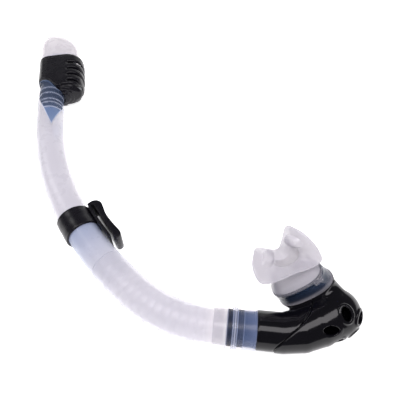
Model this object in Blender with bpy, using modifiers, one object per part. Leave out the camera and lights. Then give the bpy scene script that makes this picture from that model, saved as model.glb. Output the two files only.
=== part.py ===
"""Dry-top snorkel lying on its side: metres, +Z up, origin under the middle of its outline.

The tube's centreline stays at one height.  It runs from the elbow's joint through the
coupling, two arcs and a straight top.  Every place along the tube is a distance on that line.
"""
import math

import bpy
import bmesh
from mathutils import Matrix, Vector

MM = 0.001
GAP = 0.3 * MM

# Driving dimensions of the centreline
AXIS_HEIGHT = 15.5 * MM
JOINT_X = 71.35 * MM
JOINT_Y = -163.6 * MM
JOINT_HEADING = math.radians(174)
COUPLING_RUN = 33.0 * MM
LOWER_ARC_RADIUS = 103.0 * MM
LOWER_ARC_ANGLE = math.radians(35.5)
UPPER_ARC_RADIUS = 310.0 * MM
UPPER_ARC_ANGLE = math.radians(39.4)

# Radii of the tube and the hose
HOSE_RADIUS = 13.9 * MM
HOSE_RIB_DEPTH = 0.4 * MM
HOSE_BORE = 11.6 * MM
HOSE_RIB_PITCH = 6.5 * MM
TUBE_LOW_RADIUS = 13.5 * MM
TUBE_TOP_RADIUS = 13.0 * MM
TUBE_WALL = 1.8 * MM
CUFF_RADIUS = 15.4 * MM
INLET_RADIUS = 14.4 * MM
SHELL_WALL = 2.2 * MM

# Distances up the centreline from the elbow's joint
CUFF_END = 31.0 * MM
CUFF_CONE = 21.5 * MM
HOSE_TOP = 132.0 * MM
KEEPER_LOW = 167.5 * MM
KEEPER_WIDTH = 20.0 * MM
ARCS_END = COUPLING_RUN + LOWER_ARC_RADIUS * LOWER_ARC_ANGLE + UPPER_ARC_RADIUS * UPPER_ARC_ANGLE

# Dry top, in its own frame: X to the float chamber, Y up the tube, Z up; Y = 0 at the arcs' end
TUBE_TOP = 74.0 * MM
SEAT_TOP = 90.0 * MM
HOUSING_TOP = 91.0 * MM
HOUSING_LEFT = -13.3 * MM
HOUSING_RIGHT = 34.6 * MM
HOUSING_HALF_DEPTH = 15.1 * MM
RIM_LEVEL = 52.5 * MM
RIM_SLOPE = -1.37
CHAMBER_X = 23.8 * MM
CHAMBER_SPLIT = 42.0 * MM
CHAMBER_BOTTOM = 26.0 * MM
CAP_TOP = 137.0 * MM
LOUVRE_PITCH = 9.7 * MM
FIRST_LOUVRE = 47.6 * MM
PIVOT_X = 14.4 * MM
PIVOT_Y = 97.5 * MM
OPEN_ANGLE = math.radians(12)
SEAL_FACE = SEAT_TOP - PIVOT_Y + 0.3 * MM
FLOAT_RADIUS = 7.4 * MM
SHAFT_RADIUS = 8.2 * MM
SLEEVE_BORE = 11.4 * MM

# Elbow, purge and mouthpiece, measured from the elbow's joint on the centreline
BULB_CENTRE = Vector((59.4, 12.6, 2.5)) * MM
BULB_RADIUS = 18.0 * MM
SEAM_POINT = Vector((40.6, 11.4, 0.0)) * MM
SEAM_NORMAL = Vector((0.672, -0.740, 0.0)).normalized()
VENT_AXIS = Vector((0.316, -0.855, 0.411)).normalized()
VENT_COUNT = 5
VENT_POLAR = math.radians(40.4)
VENT_START = math.radians(-19.2)
PORT_CENTRE = Vector((38.0, 29.0, 10.0)) * MM
MOUTH_AXIS = Vector((-0.596, 0.079, 0.799)).normalized()
MOUTH_NEAR_AXIS = MOUTH_AXIS.cross(Vector((-0.797, -0.178, -0.577))).normalized()
MOUTH_WIDTH_AXIS = MOUTH_NEAR_AXIS.cross(MOUTH_AXIS)
FLANGE_AXIS = Vector((-0.602, 0.305, 0.738)).normalized()
FLANGE_NEAR_AXIS = FLANGE_AXIS.cross(Vector((-0.766, -0.481, -0.426))).normalized()
FLANGE_WIDTH_AXIS = FLANGE_NEAR_AXIS.cross(FLANGE_AXIS)
PORT_HALF_WIDTH = 22.2 * MM
PORT_HALF_HEIGHT = 11.2 * MM
COLLAR_LENGTH = 17.0 * MM
NECK_OFFSET = Vector((-5.4, 7.7, 12.4)) * MM
FLANGE_HALF_WIDTH = 16.8 * MM
FLANGE_HALF_HEIGHT = 17.1 * MM
FLANGE_SPREAD = 23.0 * MM

SIDES = 24


# ---------------------------------------------------------------- scene, materials, objects

def clear_scene():
    for old in list(bpy.data.objects):
        bpy.data.objects.remove(old, do_unlink=True)


def make_collection(name):
    collection = bpy.data.collections.new(name)
    bpy.context.scene.collection.children.link(collection)
    return collection


def material(name, color, roughness, alpha=1.0):
    made = bpy.data.materials.new(name)
    made.use_nodes = True
    shader = made.node_tree.nodes["Principled BSDF"]
    shader.inputs["Base Color"].default_value = (*color, 1.0)
    shader.inputs["Roughness"].default_value = roughness
    shader.inputs["Metallic"].default_value = 0.0
    shader.inputs["Alpha"].default_value = alpha
    return made


def add_object(name, mesh, where, parent=None):
    made = bpy.data.objects.new(name, mesh)
    where.objects.link(made)
    made.parent = parent
    return made


def frame_empty(name, where, origin, axes):
    """Empty whose X, Y and Z axes are the three given vectors."""
    empty = bpy.data.objects.new(name, None)
    where.objects.link(empty)
    turn = Matrix((axes[0], axes[1], axes[2])).transposed()
    empty.matrix_world = Matrix.Translation(origin) @ turn.to_4x4()
    return empty


def finish(piece, name, look, parts, smooth_angle=35):
    """Name a finished piece, give it its material and move it to the parts."""
    piece.name = name
    piece.data.materials.clear()
    piece.data.materials.append(look)
    piece.data.shade_smooth()
    piece.data.set_sharp_from_angle(angle=math.radians(smooth_angle))
    for collection in list(piece.users_collection):
        collection.objects.unlink(piece)
    parts.objects.link(piece)
    piece.hide_render = False
    piece.display_type = "TEXTURED"
    return piece


def as_tool(piece):
    piece.hide_render = True
    piece.display_type = "WIRE"
    return piece


# ---------------------------------------------------------------- the centreline

def path_frame(distance):
    """Point and heading on the tube's centreline, a distance up from the elbow's joint."""
    point = Vector((JOINT_X, JOINT_Y, AXIS_HEIGHT))
    heading = JOINT_HEADING
    runs = (
        (COUPLING_RUN, 0.0),
        (LOWER_ARC_RADIUS * LOWER_ARC_ANGLE, 1.0 / LOWER_ARC_RADIUS),
        (UPPER_ARC_RADIUS * UPPER_ARC_ANGLE, 1.0 / UPPER_ARC_RADIUS),
        (math.inf, 0.0),
    )
    left = distance
    for length, curvature in runs:
        step = min(left, length)
        if curvature == 0.0:
            point = point + step * Vector((math.cos(heading), math.sin(heading), 0.0))
        else:
            inward = Vector((math.sin(heading), -math.cos(heading), 0.0)) / curvature
            centre = point + inward
            point = centre - Matrix.Rotation(-step * curvature, 3, "Z") @ inward
            heading -= step * curvature
        left -= step
        if left <= 0.0:
            break
    return point, heading


def path_empty(name, distance, where):
    """Empty on the centreline: X to the inner side, Y up the tube, Z up."""
    point, heading = path_frame(distance)
    along = Vector((math.cos(heading), math.sin(heading), 0.0))
    inward = Vector((math.sin(heading), -math.cos(heading), 0.0))
    return frame_empty(name, where, point, (inward, along, Vector((0.0, 0.0, 1.0))))


# ---------------------------------------------------------------- shapes

def lathe(name, outline, where, parent=None, steps=SIDES):
    """Turn an outline of (radius, height) about Z; a ring if it is closed, else a solid."""
    hollow = min(radius for radius, height in outline) > 1e-6
    mesh = bpy.data.meshes.new(name)
    points = [(radius, 0.0, height) for radius, height in outline]
    edges = [(i, i + 1) for i in range(len(points) - 1)]
    if hollow:
        edges.append((len(points) - 1, 0))
    mesh.from_pydata(points, edges, [])
    made = add_object(name, mesh, where, parent)
    screw = made.modifiers.new("turn", "SCREW")
    screw.axis = "Z"
    screw.steps = steps
    screw.render_steps = steps
    screw.use_merge_vertices = True
    screw.merge_threshold = 0.00001
    screw.use_smooth_shade = True
    return made


def lathe_along_y(name, outline, where, parent, steps=SIDES):
    """Turned shape whose height runs along its parent's Y."""
    made = lathe(name, outline, where, parent, steps)
    made.rotation_euler = (-math.pi / 2, 0.0, 0.0)
    return made


def solid_from_curve(name, curve, where, parent=None):
    """Mesh solid of a curve, with its caps welded."""
    source = bpy.data.objects.new(name, curve)
    where.objects.link(source)
    source.parent = parent
    bpy.context.view_layer.update()
    evaluated = source.evaluated_get(bpy.context.evaluated_depsgraph_get())
    mesh = bpy.data.meshes.new_from_object(evaluated)
    shape = bmesh.new()
    shape.from_mesh(mesh)
    bmesh.ops.remove_doubles(shape, verts=shape.verts, dist=0.00001)
    bmesh.ops.triangulate(shape, faces=shape.faces)
    bmesh.ops.recalc_face_normals(shape, faces=shape.faces)
    shape.to_mesh(mesh)
    shape.free()
    made = bpy.data.objects.new(name, mesh)
    where.objects.link(made)
    made.parent = parent
    bpy.data.objects.remove(source, do_unlink=True)
    return made


def plate(name, outline, thickness, where, parent=None):
    """Flat outline in XY, extruded evenly to both sides of Z = 0."""
    curve = bpy.data.curves.new(name, "CURVE")
    curve.dimensions = "2D"
    curve.fill_mode = "BOTH"
    curve.extrude = thickness / 2
    spline = curve.splines.new("POLY")
    spline.points.add(len(outline) - 1)
    for point, (x, y) in zip(spline.points, outline):
        point.co = (x, y, 0.0, 1.0)
    spline.use_cyclic_u = True
    return solid_from_curve(name, curve, where, parent)


def sweep(name, stations, where, sides=SIDES):
    """Round solid through (centre, radius) stations."""
    curve = bpy.data.curves.new(name, "CURVE")
    curve.dimensions = "3D"
    curve.bevel_depth = 10.0 * MM
    curve.bevel_resolution = (sides - 4) // 2
    curve.use_fill_caps = True
    curve.twist_mode = "Z_UP"
    spline = curve.splines.new("POLY")
    spline.points.add(len(stations) - 1)
    for point, (centre, radius) in zip(spline.points, stations):
        point.co = (*centre, 1.0)
        point.radius = radius / curve.bevel_depth
    return solid_from_curve(name, curve, where)


def path_sweep(name, profile, where):
    """Sweep along the centreline through (distance, radius) pairs."""
    stations = [(path_frame(distance)[0], radius) for distance, radius in profile]
    return sweep(name, stations, where)


def loft(name, rings, where, parent=None, closed=False):
    """Skin rings of equal length; the ends are capped, or joined when closed."""
    shape = bmesh.new()
    rows = [[shape.verts.new(point) for point in ring] for ring in rings]
    count = len(rings[0])
    pairs = list(zip(rows, rows[1:]))
    if closed:
        pairs.append((rows[-1], rows[0]))
    for low, high in pairs:
        for i in range(count):
            j = (i + 1) % count
            shape.faces.new((low[i], low[j], high[j], high[i]))
    if not closed:
        shape.faces.new(rows[0])
        shape.faces.new(rows[-1])
    bmesh.ops.triangulate(shape, faces=shape.faces)
    bmesh.ops.recalc_face_normals(shape, faces=shape.faces)
    mesh = bpy.data.meshes.new(name)
    shape.to_mesh(mesh)
    shape.free()
    return add_object(name, mesh, where, parent)


def box(name, size, centre, where, parent=None):
    shape = bmesh.new()
    bmesh.ops.create_cube(shape, size=1.0)
    bmesh.ops.scale(shape, vec=size, verts=shape.verts)
    bmesh.ops.translate(shape, vec=centre, verts=shape.verts)
    mesh = bpy.data.meshes.new(name)
    shape.to_mesh(mesh)
    shape.free()
    return add_object(name, mesh, where, parent)


def ball(name, radius, centre, where, parent=None, segments=SIDES):
    shape = bmesh.new()
    bmesh.ops.create_uvsphere(shape, u_segments=segments, v_segments=segments // 2, radius=radius)
    bmesh.ops.translate(shape, vec=centre, verts=shape.verts)
    mesh = bpy.data.meshes.new(name)
    shape.to_mesh(mesh)
    shape.free()
    return add_object(name, mesh, where, parent)


def cylinder(name, radius, length, centre, where, parent=None, sides=SIDES):
    """Cylinder along Z, centred at a point."""
    shape = bmesh.new()
    bmesh.ops.create_cone(
        shape, cap_ends=True, segments=sides, radius1=radius, radius2=radius, depth=length)
    bmesh.ops.translate(shape, vec=centre, verts=shape.verts)
    mesh = bpy.data.meshes.new(name)
    shape.to_mesh(mesh)
    shape.free()
    return add_object(name, mesh, where, parent)


def combine(target, operation, *tools, solver="EXACT"):
    """Boolean of one target with each tool; the tools stay as wire guides."""
    for tool in tools:
        change = target.modifiers.new(tool.name, "BOOLEAN")
        change.operation = operation
        change.solver = solver
        change.object = as_tool(tool)
    return target


def arc(centre_x, centre_y, radius_x, radius_y, start, end, steps):
    """Points on an elliptic arc, angles in degrees."""
    points = []
    for i in range(steps + 1):
        angle = math.radians(start + (end - start) * i / steps)
        points.append((centre_x + radius_x * math.cos(angle), centre_y + radius_y * math.sin(angle)))
    return points


def rounded_box_outline(left, right, half_height, corner, steps=6):
    """Rounded rectangle, centred on Y = 0."""
    corners = (
        (right - corner, half_height - corner, 0),
        (left + corner, half_height - corner, 90),
        (left + corner, corner - half_height, 180),
        (right - corner, corner - half_height, 270),
    )
    points = []
    for x, y, start in corners:
        points += arc(x, y, corner, corner, start, start + 90, steps)
    return points


def oval(half_width, half_height, power, count):
    """Super-ellipse points; power 2 is an ellipse and more is squarer."""
    points = []
    for i in range(count):
        angle = 2 * math.pi * i / count
        c, s = math.cos(angle), math.sin(angle)
        x = math.copysign(abs(c) ** (2 / power), c) * half_width
        y = math.copysign(abs(s) ** (2 / power), s) * half_height
        points.append((x, y))
    return points


# ---------------------------------------------------------------- tube, hose and coupling

def distances(start, end, step):
    count = max(1, round((end - start) / step))
    return [start + (end - start) * i / count for i in range(count + 1)]


def tube_radius(distance):
    """Outside radius of the tapered upper tube."""
    share = (distance - HOSE_TOP) / (ARCS_END - HOSE_TOP)
    return TUBE_LOW_RADIUS + (TUBE_TOP_RADIUS - TUBE_LOW_RADIUS) * min(share, 1.0)


def rim_height(x):
    """Height of the slanted joint between tube and valve housing, in the dry top's frame."""
    return RIM_LEVEL + RIM_SLOPE * x


def rim_x(height):
    return (height - RIM_LEVEL) / RIM_SLOPE


def make_upper_tube(cutters, parts, frame, look):
    """Tapered tube; its lower end steps in and plugs the hose."""
    spigot_start = HOSE_TOP - 12 * MM
    spigot_radius = HOSE_BORE - GAP
    top = ARCS_END + TUBE_TOP
    outer = [(spigot_start, spigot_radius), (HOSE_TOP + 0.15 * MM, spigot_radius)]
    inner = [(spigot_start - 2 * MM, spigot_radius - TUBE_WALL)]
    inner.append((HOSE_TOP, spigot_radius - TUBE_WALL))
    for distance in distances(HOSE_TOP + 0.4 * MM, ARCS_END, 17 * MM) + [top]:
        outer.append((distance, tube_radius(distance)))
    for distance in distances(HOSE_TOP + 6 * MM, ARCS_END, 17 * MM) + [top + 2 * MM]:
        inner.append((distance, tube_radius(distance) - TUBE_WALL))
    tube = path_sweep("upper_tube", outer, cutters)
    combine(tube, "DIFFERENCE", path_sweep("upper_tube_bore", inner, cutters))
    low = CHAMBER_SPLIT - GAP
    cut = plate("tube_slant", [
        (-20 * MM, rim_height(-20 * MM) - GAP), (rim_x(low + GAP) - GAP, low), (30 * MM, low),
        (30 * MM, 120 * MM), (-20 * MM, 120 * MM)], 60 * MM, cutters, frame)
    combine(tube, "DIFFERENCE", cut)
    return finish(tube, "upper_tube", look, parts)


def make_flex_hose(cutters, parts, look):
    """Hose with shallow ribs between its neck in the cuff and its top edge."""
    neck = HOSE_BORE + 1.0 * MM
    outer = [(CUFF_CONE + 2.5 * MM, neck), (CUFF_END, neck), (CUFF_END + 0.6 * MM, HOSE_RADIUS - 0.6 * MM)]
    ribs_start = CUFF_END + 5 * MM
    ribs_end = HOSE_TOP - 6 * MM
    count = round((ribs_end - ribs_start) / HOSE_RIB_PITCH)
    for i in range(2 * count + 1):
        distance = ribs_start + (ribs_end - ribs_start) * i / (2 * count)
        outer.append((distance, HOSE_RADIUS - (HOSE_RIB_DEPTH if i % 2 else 0.0)))
    outer.append((HOSE_TOP, HOSE_RADIUS))
    inner = [(distance, HOSE_BORE) for distance in distances(CUFF_CONE, HOSE_TOP + 2 * MM, 9 * MM)]
    hose = path_sweep("flex_hose", outer, cutters)
    combine(hose, "DIFFERENCE", path_sweep("flex_hose_bore", inner, cutters))
    return finish(hose, "flex_hose", look, parts)


def make_coupling_cuff(cutters, parts, frame, look):
    """Clear cuff over the connector, with a cone down to the hose."""
    lip = HOSE_BORE + 1.0 * MM + GAP
    outline = [
        (HOSE_RADIUS - 0.5 * MM, CUFF_END - 0.2 * MM),
        (CUFF_RADIUS - 0.3 * MM, CUFF_CONE + 0.8 * MM),
        (CUFF_RADIUS, CUFF_CONE - 0.5 * MM),
        (CUFF_RADIUS, 0.9 * MM),
        (CUFF_RADIUS - 0.6 * MM, GAP),
        (13.6 * MM, GAP),
        (13.6 * MM, CUFF_CONE - 1.0 * MM),
        (lip, CUFF_CONE + 1.2 * MM),
        (lip, CUFF_END - 0.2 * MM),
    ]
    cuff = lathe_along_y("coupling_cuff", outline, parts, frame)
    return finish(cuff, "coupling_cuff", look, parts)


def make_hose_connector(cutters, parts, frame, look):
    """Ribbed sleeve: three lands under the cuff and a spigot in the elbow's inlet."""
    land = 13.3 * MM
    groove = 12.3 * MM
    spigot = INLET_RADIUS - SHELL_WALL - GAP
    bore = 9.8 * MM
    outline = [
        (groove - 0.6 * MM, 21.8 * MM), (land, 20.9 * MM), (land, 18.2 * MM), (groove, 17.6 * MM),
        (groove, 14.6 * MM), (land, 14.0 * MM), (land, 9.7 * MM), (groove + 0.4 * MM, 9.3 * MM),
        (groove + 0.4 * MM, 1.4 * MM), (land, 1.0 * MM), (land, GAP), (spigot, GAP),
        (spigot, -7.0 * MM), (bore, -7.0 * MM), (bore, 21.8 * MM),
    ]
    connector = lathe_along_y("hose_connector", outline, parts, frame)
    return finish(connector, "hose_connector", look, parts)


# ---------------------------------------------------------------- mask keeper

def make_mask_keeper(cutters, parts, frame, look):
    """Band round the tube with a flat saddle and a J hook on the tube's inner side."""
    bore = tube_radius(KEEPER_LOW + KEEPER_WIDTH / 2) + 0.55 * MM
    radius = AXIS_HEIGHT - 0.2 * MM
    half = KEEPER_WIDTH / 2
    band_outline = [
        (radius - 0.4 * MM, half), (radius, half - 0.5 * MM), (radius, 0.5 * MM - half),
        (radius - 0.4 * MM, -half), (bore, -half), (bore, half),
    ]
    band = lathe_along_y("keeper_band", band_outline, cutters, frame, 32)
    back = 13.8 * MM
    front = 15.9 * MM
    reach = 25.2 * MM
    hook_depth = 20.0 * MM
    outline = [(back, -28.2 * MM), (front, -28.4 * MM), (front, 5.0 * MM)]
    outline += arc(18.3 * MM, 5.0 * MM, 2.4 * MM, 2.4 * MM, 180, 40, 5)
    outline += [
        (20.3 * MM, -2.0 * MM), (19.9 * MM, -12.0 * MM), (20.0 * MM, -23.0 * MM),
        (18.4 * MM, -28.0 * MM), (16.4 * MM, -31.2 * MM), (18.0 * MM, -41.0 * MM),
        (20.2 * MM, -40.2 * MM), (23.6 * MM, -33.0 * MM), (22.7 * MM, -20.0 * MM),
        (22.8 * MM, -8.0 * MM), (24.6 * MM, -1.0 * MM),
    ]
    outline += arc(18.3 * MM, 4.2 * MM, reach - 18.3 * MM, 6.6 * MM, 0, 110, 7)
    outline += [(back, 10.0 * MM)]
    bent = [(x + y * y / (2 * UPPER_ARC_RADIUS), y) for x, y in outline]
    hook = plate("keeper_hook", bent, hook_depth, cutters, frame)
    middle = KEEPER_LOW + half
    stations = distances(middle - 50 * MM, middle + 50 * MM, 10 * MM)
    tube_room = path_sweep("keeper_room", [(distance, bore) for distance in stations], cutters)
    combine(band, "UNION", hook)
    combine(band, "DIFFERENCE", tube_room)
    return finish(band, "mask_keeper", look, parts)


# ---------------------------------------------------------------- dry top

def housing_outline():
    """Side view of the housing; its lower rim slants from the tube to the chamber."""
    left = HOUSING_LEFT - 1 * MM
    right = HOUSING_RIGHT
    top = HOUSING_TOP
    points = [(left, rim_height(left)), (rim_x(CHAMBER_SPLIT), CHAMBER_SPLIT)]
    points += [(right + 1 * MM, CHAMBER_SPLIT), (right + 1 * MM, top - 15 * MM)]
    points += arc(right - 10 * MM, top - 15 * MM, 10.3 * MM, 15 * MM, 10, 90, 6)
    points += arc(HOUSING_LEFT + 4.5 * MM, top - 4.5 * MM, 4.7 * MM, 4.5 * MM, 90, 165, 4)
    points.append((left, top - 8 * MM))
    return points


def section_outline(inset):
    """Section of the dry top: round on the tube's side, wider round the chamber."""
    tube_side = -HOUSING_LEFT - inset
    chamber_side = HOUSING_HALF_DEPTH - inset
    middle = HOUSING_RIGHT - HOUSING_HALF_DEPTH
    points = arc(0.0, 0.0, tube_side, tube_side, 95, 265, 14)
    return points + arc(middle, 0.0, chamber_side, chamber_side, -85, 85, 14)


def section_prism(name, inset, low, high, where, frame):
    """Section of the dry top in XZ, running along Y."""
    prism = plate(name, section_outline(inset), high - low, where, frame)
    prism.rotation_euler = (math.pi / 2, 0.0, 0.0)
    prism.location = (0.0, (low + high) / 2, 0.0)
    return prism


def cylinder_along_y(name, radius, low, high, x, where, frame, sides=SIDES):
    made = cylinder(name, radius, high - low, (0, 0, 0), where, frame, sides)
    made.rotation_euler = (-math.pi / 2, 0.0, 0.0)
    made.location = (x, (low + high) / 2, 0.0)
    return made


def make_valve_housing(cutters, parts, frame, look):
    """Black shell: sleeve on the adaptor and float chamber with four louvres."""
    wall = 1.9 * MM
    shell = plate("valve_housing", housing_outline(), 40 * MM, cutters, frame)
    combine(shell, "INTERSECT", section_prism("housing_section", 0.0, 10 * MM, 120 * MM, cutters, frame))
    room = section_prism("housing_room", wall, TUBE_TOP + 3 * MM, 130 * MM, cutters, frame)
    sleeve = cylinder_along_y("housing_sleeve", SLEEVE_BORE, 0.0, 130 * MM, 0.0, cutters, frame)
    shaft = cylinder_along_y("housing_shaft", SHAFT_RADIUS, 20 * MM, 130 * MM, CHAMBER_X, cutters, frame)
    combine(shell, "DIFFERENCE", room, sleeve, shaft, solver="MANIFOLD")
    for index in range(4):
        height = FIRST_LOUVRE + index * LOUVRE_PITCH
        slot = box(
            "louvre_%d" % index, (26 * MM, 4.2 * MM, 60 * MM),
            (19.6 * MM + 13 * MM, height, 0.0), cutters, frame)
        core = cylinder_along_y(
            "louvre_core_%d" % index, SHAFT_RADIUS + 1.0 * MM, height - 5 * MM, height + 5 * MM,
            CHAMBER_X, cutters, frame)
        combine(slot, "DIFFERENCE", core, solver="MANIFOLD")
        combine(shell, "DIFFERENCE", slot, solver="MANIFOLD")
    return finish(shell, "valve_housing", look, parts)


def make_chamber_base(cutters, parts, frame, look):
    """Round-bottomed cup that closes the float chamber from below."""
    top = CHAMBER_SPLIT - GAP
    radius = 9.8 * MM
    shoulder = CHAMBER_BOTTOM + 10 * MM
    outline = [(radius, top)] + arc(0, shoulder, radius, 10 * MM, 0, -72, 6)
    outline += [(1.6 * MM, CHAMBER_BOTTOM), (1.6 * MM, CHAMBER_BOTTOM + 1.8 * MM)]
    outline += [(5.6 * MM, CHAMBER_BOTTOM + 3.6 * MM), (SHAFT_RADIUS, shoulder), (SHAFT_RADIUS, top)]
    cup = lathe_along_y("chamber_base", outline, parts, frame)
    cup.location = (CHAMBER_X, 0.0, 0.0)
    return finish(cup, "chamber_base", look, parts)


def cap_ring(share, inset, count):
    """One level of the cap, from its rim (0) to its crown (1); crown leans to the tube."""
    low = HOUSING_TOP + GAP
    height = CAP_TOP - inset - low
    level = math.sin(share * math.pi / 2)
    fade = math.cos(share * math.pi / 2) ** 0.75
    left = HOUSING_LEFT + 0.6 * MM + inset
    right = HOUSING_RIGHT - 5.0 * MM - inset
    crown_x = -2.5 * MM
    middle = crown_x + ((left + right) / 2 - crown_x) * fade
    half_width = (right - left) / 2 * fade
    half_depth = (HOUSING_HALF_DEPTH - 1.4 * MM - inset) * fade
    points = []
    for x, z in oval(half_width, half_depth, 2.3, count):
        points.append((middle + x, low + height * level, z))
    return points


def make_top_cap(cutters, parts, frame, look):
    """Domed cap, open below."""
    wall = 1.6 * MM
    count = 28
    shares = (0.0, 0.16, 0.32, 0.48, 0.64, 0.78, 0.9, 0.97)
    outer = [cap_ring(share, 0.0, count) for share in shares]
    inner = [cap_ring(share, wall, count) for share in shares]
    skirt = [(x, y - 3 * MM, z) for x, y, z in inner[0]]
    cap = loft("top_cap", outer, cutters, frame)
    combine(cap, "DIFFERENCE", loft("cap_room", [skirt] + inner, cutters, frame))
    return finish(cap, "top_cap", look, parts)


def make_top_adaptor(cutters, parts, frame, look):
    """Barbed insert with the valve seat above and a pointed tongue below."""
    barb = TUBE_TOP_RADIUS - TUBE_WALL - GAP
    neck = barb - 1.0 * MM
    bore = 7.9 * MM
    outline = [(8.6 * MM, SEAT_TOP), (9.4 * MM, SEAT_TOP - 1.2 * MM), (9.4 * MM, TUBE_TOP + 2.0 * MM)]
    outline += [(barb, TUBE_TOP), (barb, 50 * MM), (neck, 49 * MM)]
    for ring in (40 * MM, 32 * MM, 23 * MM, 11 * MM):
        outline += [(neck, ring + 2.6 * MM), (barb, ring), (neck, ring - 0.6 * MM)]
    outline += [(neck, -14 * MM), (bore, -14 * MM), (bore, SEAT_TOP)]
    adaptor = lathe_along_y("top_adaptor", outline, cutters, frame)
    slant = 32.0 * MM
    wedge = plate(
        "tongue_wedge",
        [(-30 * MM, -60 * MM), (30 * MM, -60 * MM), (30 * MM, 18 * MM),
         (9.0 * MM, 9.0 * MM), (3.0 * MM, -11.0 * MM), (-7.0 * MM, slant - 10 * MM),
         (-30 * MM, slant + 6 * MM)],
        60 * MM, cutters, frame)
    far_side = box("tongue_far_side", (60 * MM, 70 * MM, 32 * MM), (0.0, -25 * MM, -14 * MM), cutters, frame)
    combine(adaptor, "DIFFERENCE", wedge, far_side)
    return finish(adaptor, "top_adaptor", look, parts)


def make_float(cutters, parts, frame, look):
    """Closed float with a stem that pushes the rocker's fork."""
    low = CHAMBER_BOTTOM + 8.5 * MM
    high = 72.0 * MM
    stem_top = PIVOT_Y - 3.8 * MM
    outline = [(0.0, stem_top), (1.5 * MM, stem_top - 0.6 * MM), (1.5 * MM, high)]
    outline += arc(0, high - 3 * MM, FLOAT_RADIUS, 3 * MM, 78, 0, 4)
    outline += arc(0, low + 4 * MM, FLOAT_RADIUS, 4 * MM, 0, -78, 4)
    outline += [(0.0, low)]
    made = lathe_along_y("float", outline, parts, frame, 20)
    made.location = (CHAMBER_X, 0.0, 0.0)
    return finish(made, "float", look, parts)


def rocker_frame(frame, cutters):
    """Frame of the open rocker: turned about its pin; at zero turn the seal is on its seat."""
    base = frame.matrix_world @ Matrix.Translation(Vector((PIVOT_X, PIVOT_Y, 0.0)))
    turned = base @ Matrix.Rotation(-OPEN_ANGLE, 4, "Z")
    axes = turned.to_3x3().transposed()
    return frame_empty("rocker_frame", cutters, turned.translation, (axes[0], axes[1], axes[2]))


def make_float_lever(cutters, parts, frame, look):
    """Rocker: seal arm over the tube's mouth, pivot boss, and tail over the float's stem."""
    boss = 2.6 * MM
    tail = CHAMBER_X - PIVOT_X + 2.0 * MM
    outline = [(-PIVOT_X - 3.5 * MM, -3.4 * MM), (-3.4 * MM, -3.4 * MM), (-2.0 * MM, -1.7 * MM)]
    outline += arc(0.0, 0.0, boss, boss, 225, 315, 4)
    outline += [(tail, -1.4 * MM), (tail, 0.4 * MM)]
    outline += arc(0.0, 0.0, boss, boss, 15, 165, 8)
    outline += [(-4.4 * MM, -1.4 * MM), (-PIVOT_X - 3.5 * MM, -1.6 * MM)]
    lever = plate("float_lever", outline, 5.0 * MM, cutters, frame)
    eye = cylinder("lever_eye", 1.25 * MM, 8 * MM, (0.0, 0.0, 0.0), cutters, frame, 16)
    rivet_room = cylinder_along_y(
        "rivet_room", 1.5 * MM, -6 * MM, 4 * MM, -PIVOT_X, cutters, frame, 16)
    combine(lever, "DIFFERENCE", eye, rivet_room)
    return finish(lever, "float_lever", look, parts)


def make_lever_pin(cutters, parts, frame, look):
    """Pin through the rocker's eye, held in two posts."""
    pin = cylinder("lever_pin", 0.95 * MM, 12 * MM, (0, 0, 0), parts, frame, 16)
    pin.location = (PIVOT_X, PIVOT_Y, 0.0)
    return finish(pin, "lever_pin", look, parts)


def make_lever_bracket(cutters, parts, frame, look):
    """Two posts on the housing's floor, between seat and float, that carry the pin."""
    low = TUBE_TOP + 3.0 * MM + GAP
    half = 2.2 * MM
    outline = [(PIVOT_X - half, low), (PIVOT_X + half, low), (PIVOT_X + half, PIVOT_Y)]
    outline += arc(PIVOT_X, PIVOT_Y, half, half, 15, 165, 6)
    outline += [(PIVOT_X - half, PIVOT_Y)]
    bracket = plate("lever_bracket", outline, 17.0 * MM, cutters, frame)
    middle = (PIVOT_X, 100 * MM + low + 3.0 * MM, 0.0)
    gap = box("bracket_gap", (12 * MM, 200 * MM, 11.0 * MM), middle, cutters, frame)
    seat = cylinder_along_y("bracket_seat", 9.9 * MM, 60 * MM, 130 * MM, 0.0, cutters, frame)
    well = cylinder_along_y("bracket_well", 8.0 * MM, 60 * MM, 130 * MM, CHAMBER_X, cutters, frame)
    eye = cylinder("bracket_eye", 1.25 * MM, 20 * MM, (PIVOT_X, PIVOT_Y, 0.0), cutters, frame, 16)
    combine(bracket, "DIFFERENCE", gap, seat, well, eye)
    return finish(bracket, "lever_bracket", look, parts)


def make_valve_seal(cutters, parts, frame, look):
    """Soft disc under the seal arm."""
    high = -3.4 * MM - GAP
    outline = [(9.0 * MM, high), (9.2 * MM, high - 1.0 * MM), (7.4 * MM, SEAL_FACE)]
    outline += [(1.5 * MM, SEAL_FACE), (1.5 * MM, high)]
    seal = lathe_along_y("valve_seal", outline, parts, frame)
    seal.location = (-PIVOT_X, 0.0, 0.0)
    return finish(seal, "valve_seal", look, parts)


def make_seal_rivet(cutters, parts, frame, look):
    """Headed rivet through the disc and the arm."""
    low = SEAL_FACE - GAP
    high = -1.4 * MM + GAP
    outline = [(0.0, high + 1.2 * MM), (2.6 * MM, high + 0.9 * MM), (2.6 * MM, high)]
    outline += [(1.2 * MM, high), (1.2 * MM, low), (2.8 * MM, low), (2.4 * MM, low - 1.0 * MM)]
    outline += [(0.0, low - 1.2 * MM)]
    rivet = lathe_along_y("seal_rivet", outline, parts, frame, 16)
    rivet.location = (-PIVOT_X, 0.0, 0.0)
    return finish(rivet, "seal_rivet", look, parts)


# ---------------------------------------------------------------- elbow and purge

def elbow_point(offset):
    return Vector((JOINT_X, JOINT_Y, AXIS_HEIGHT)) + offset


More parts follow.
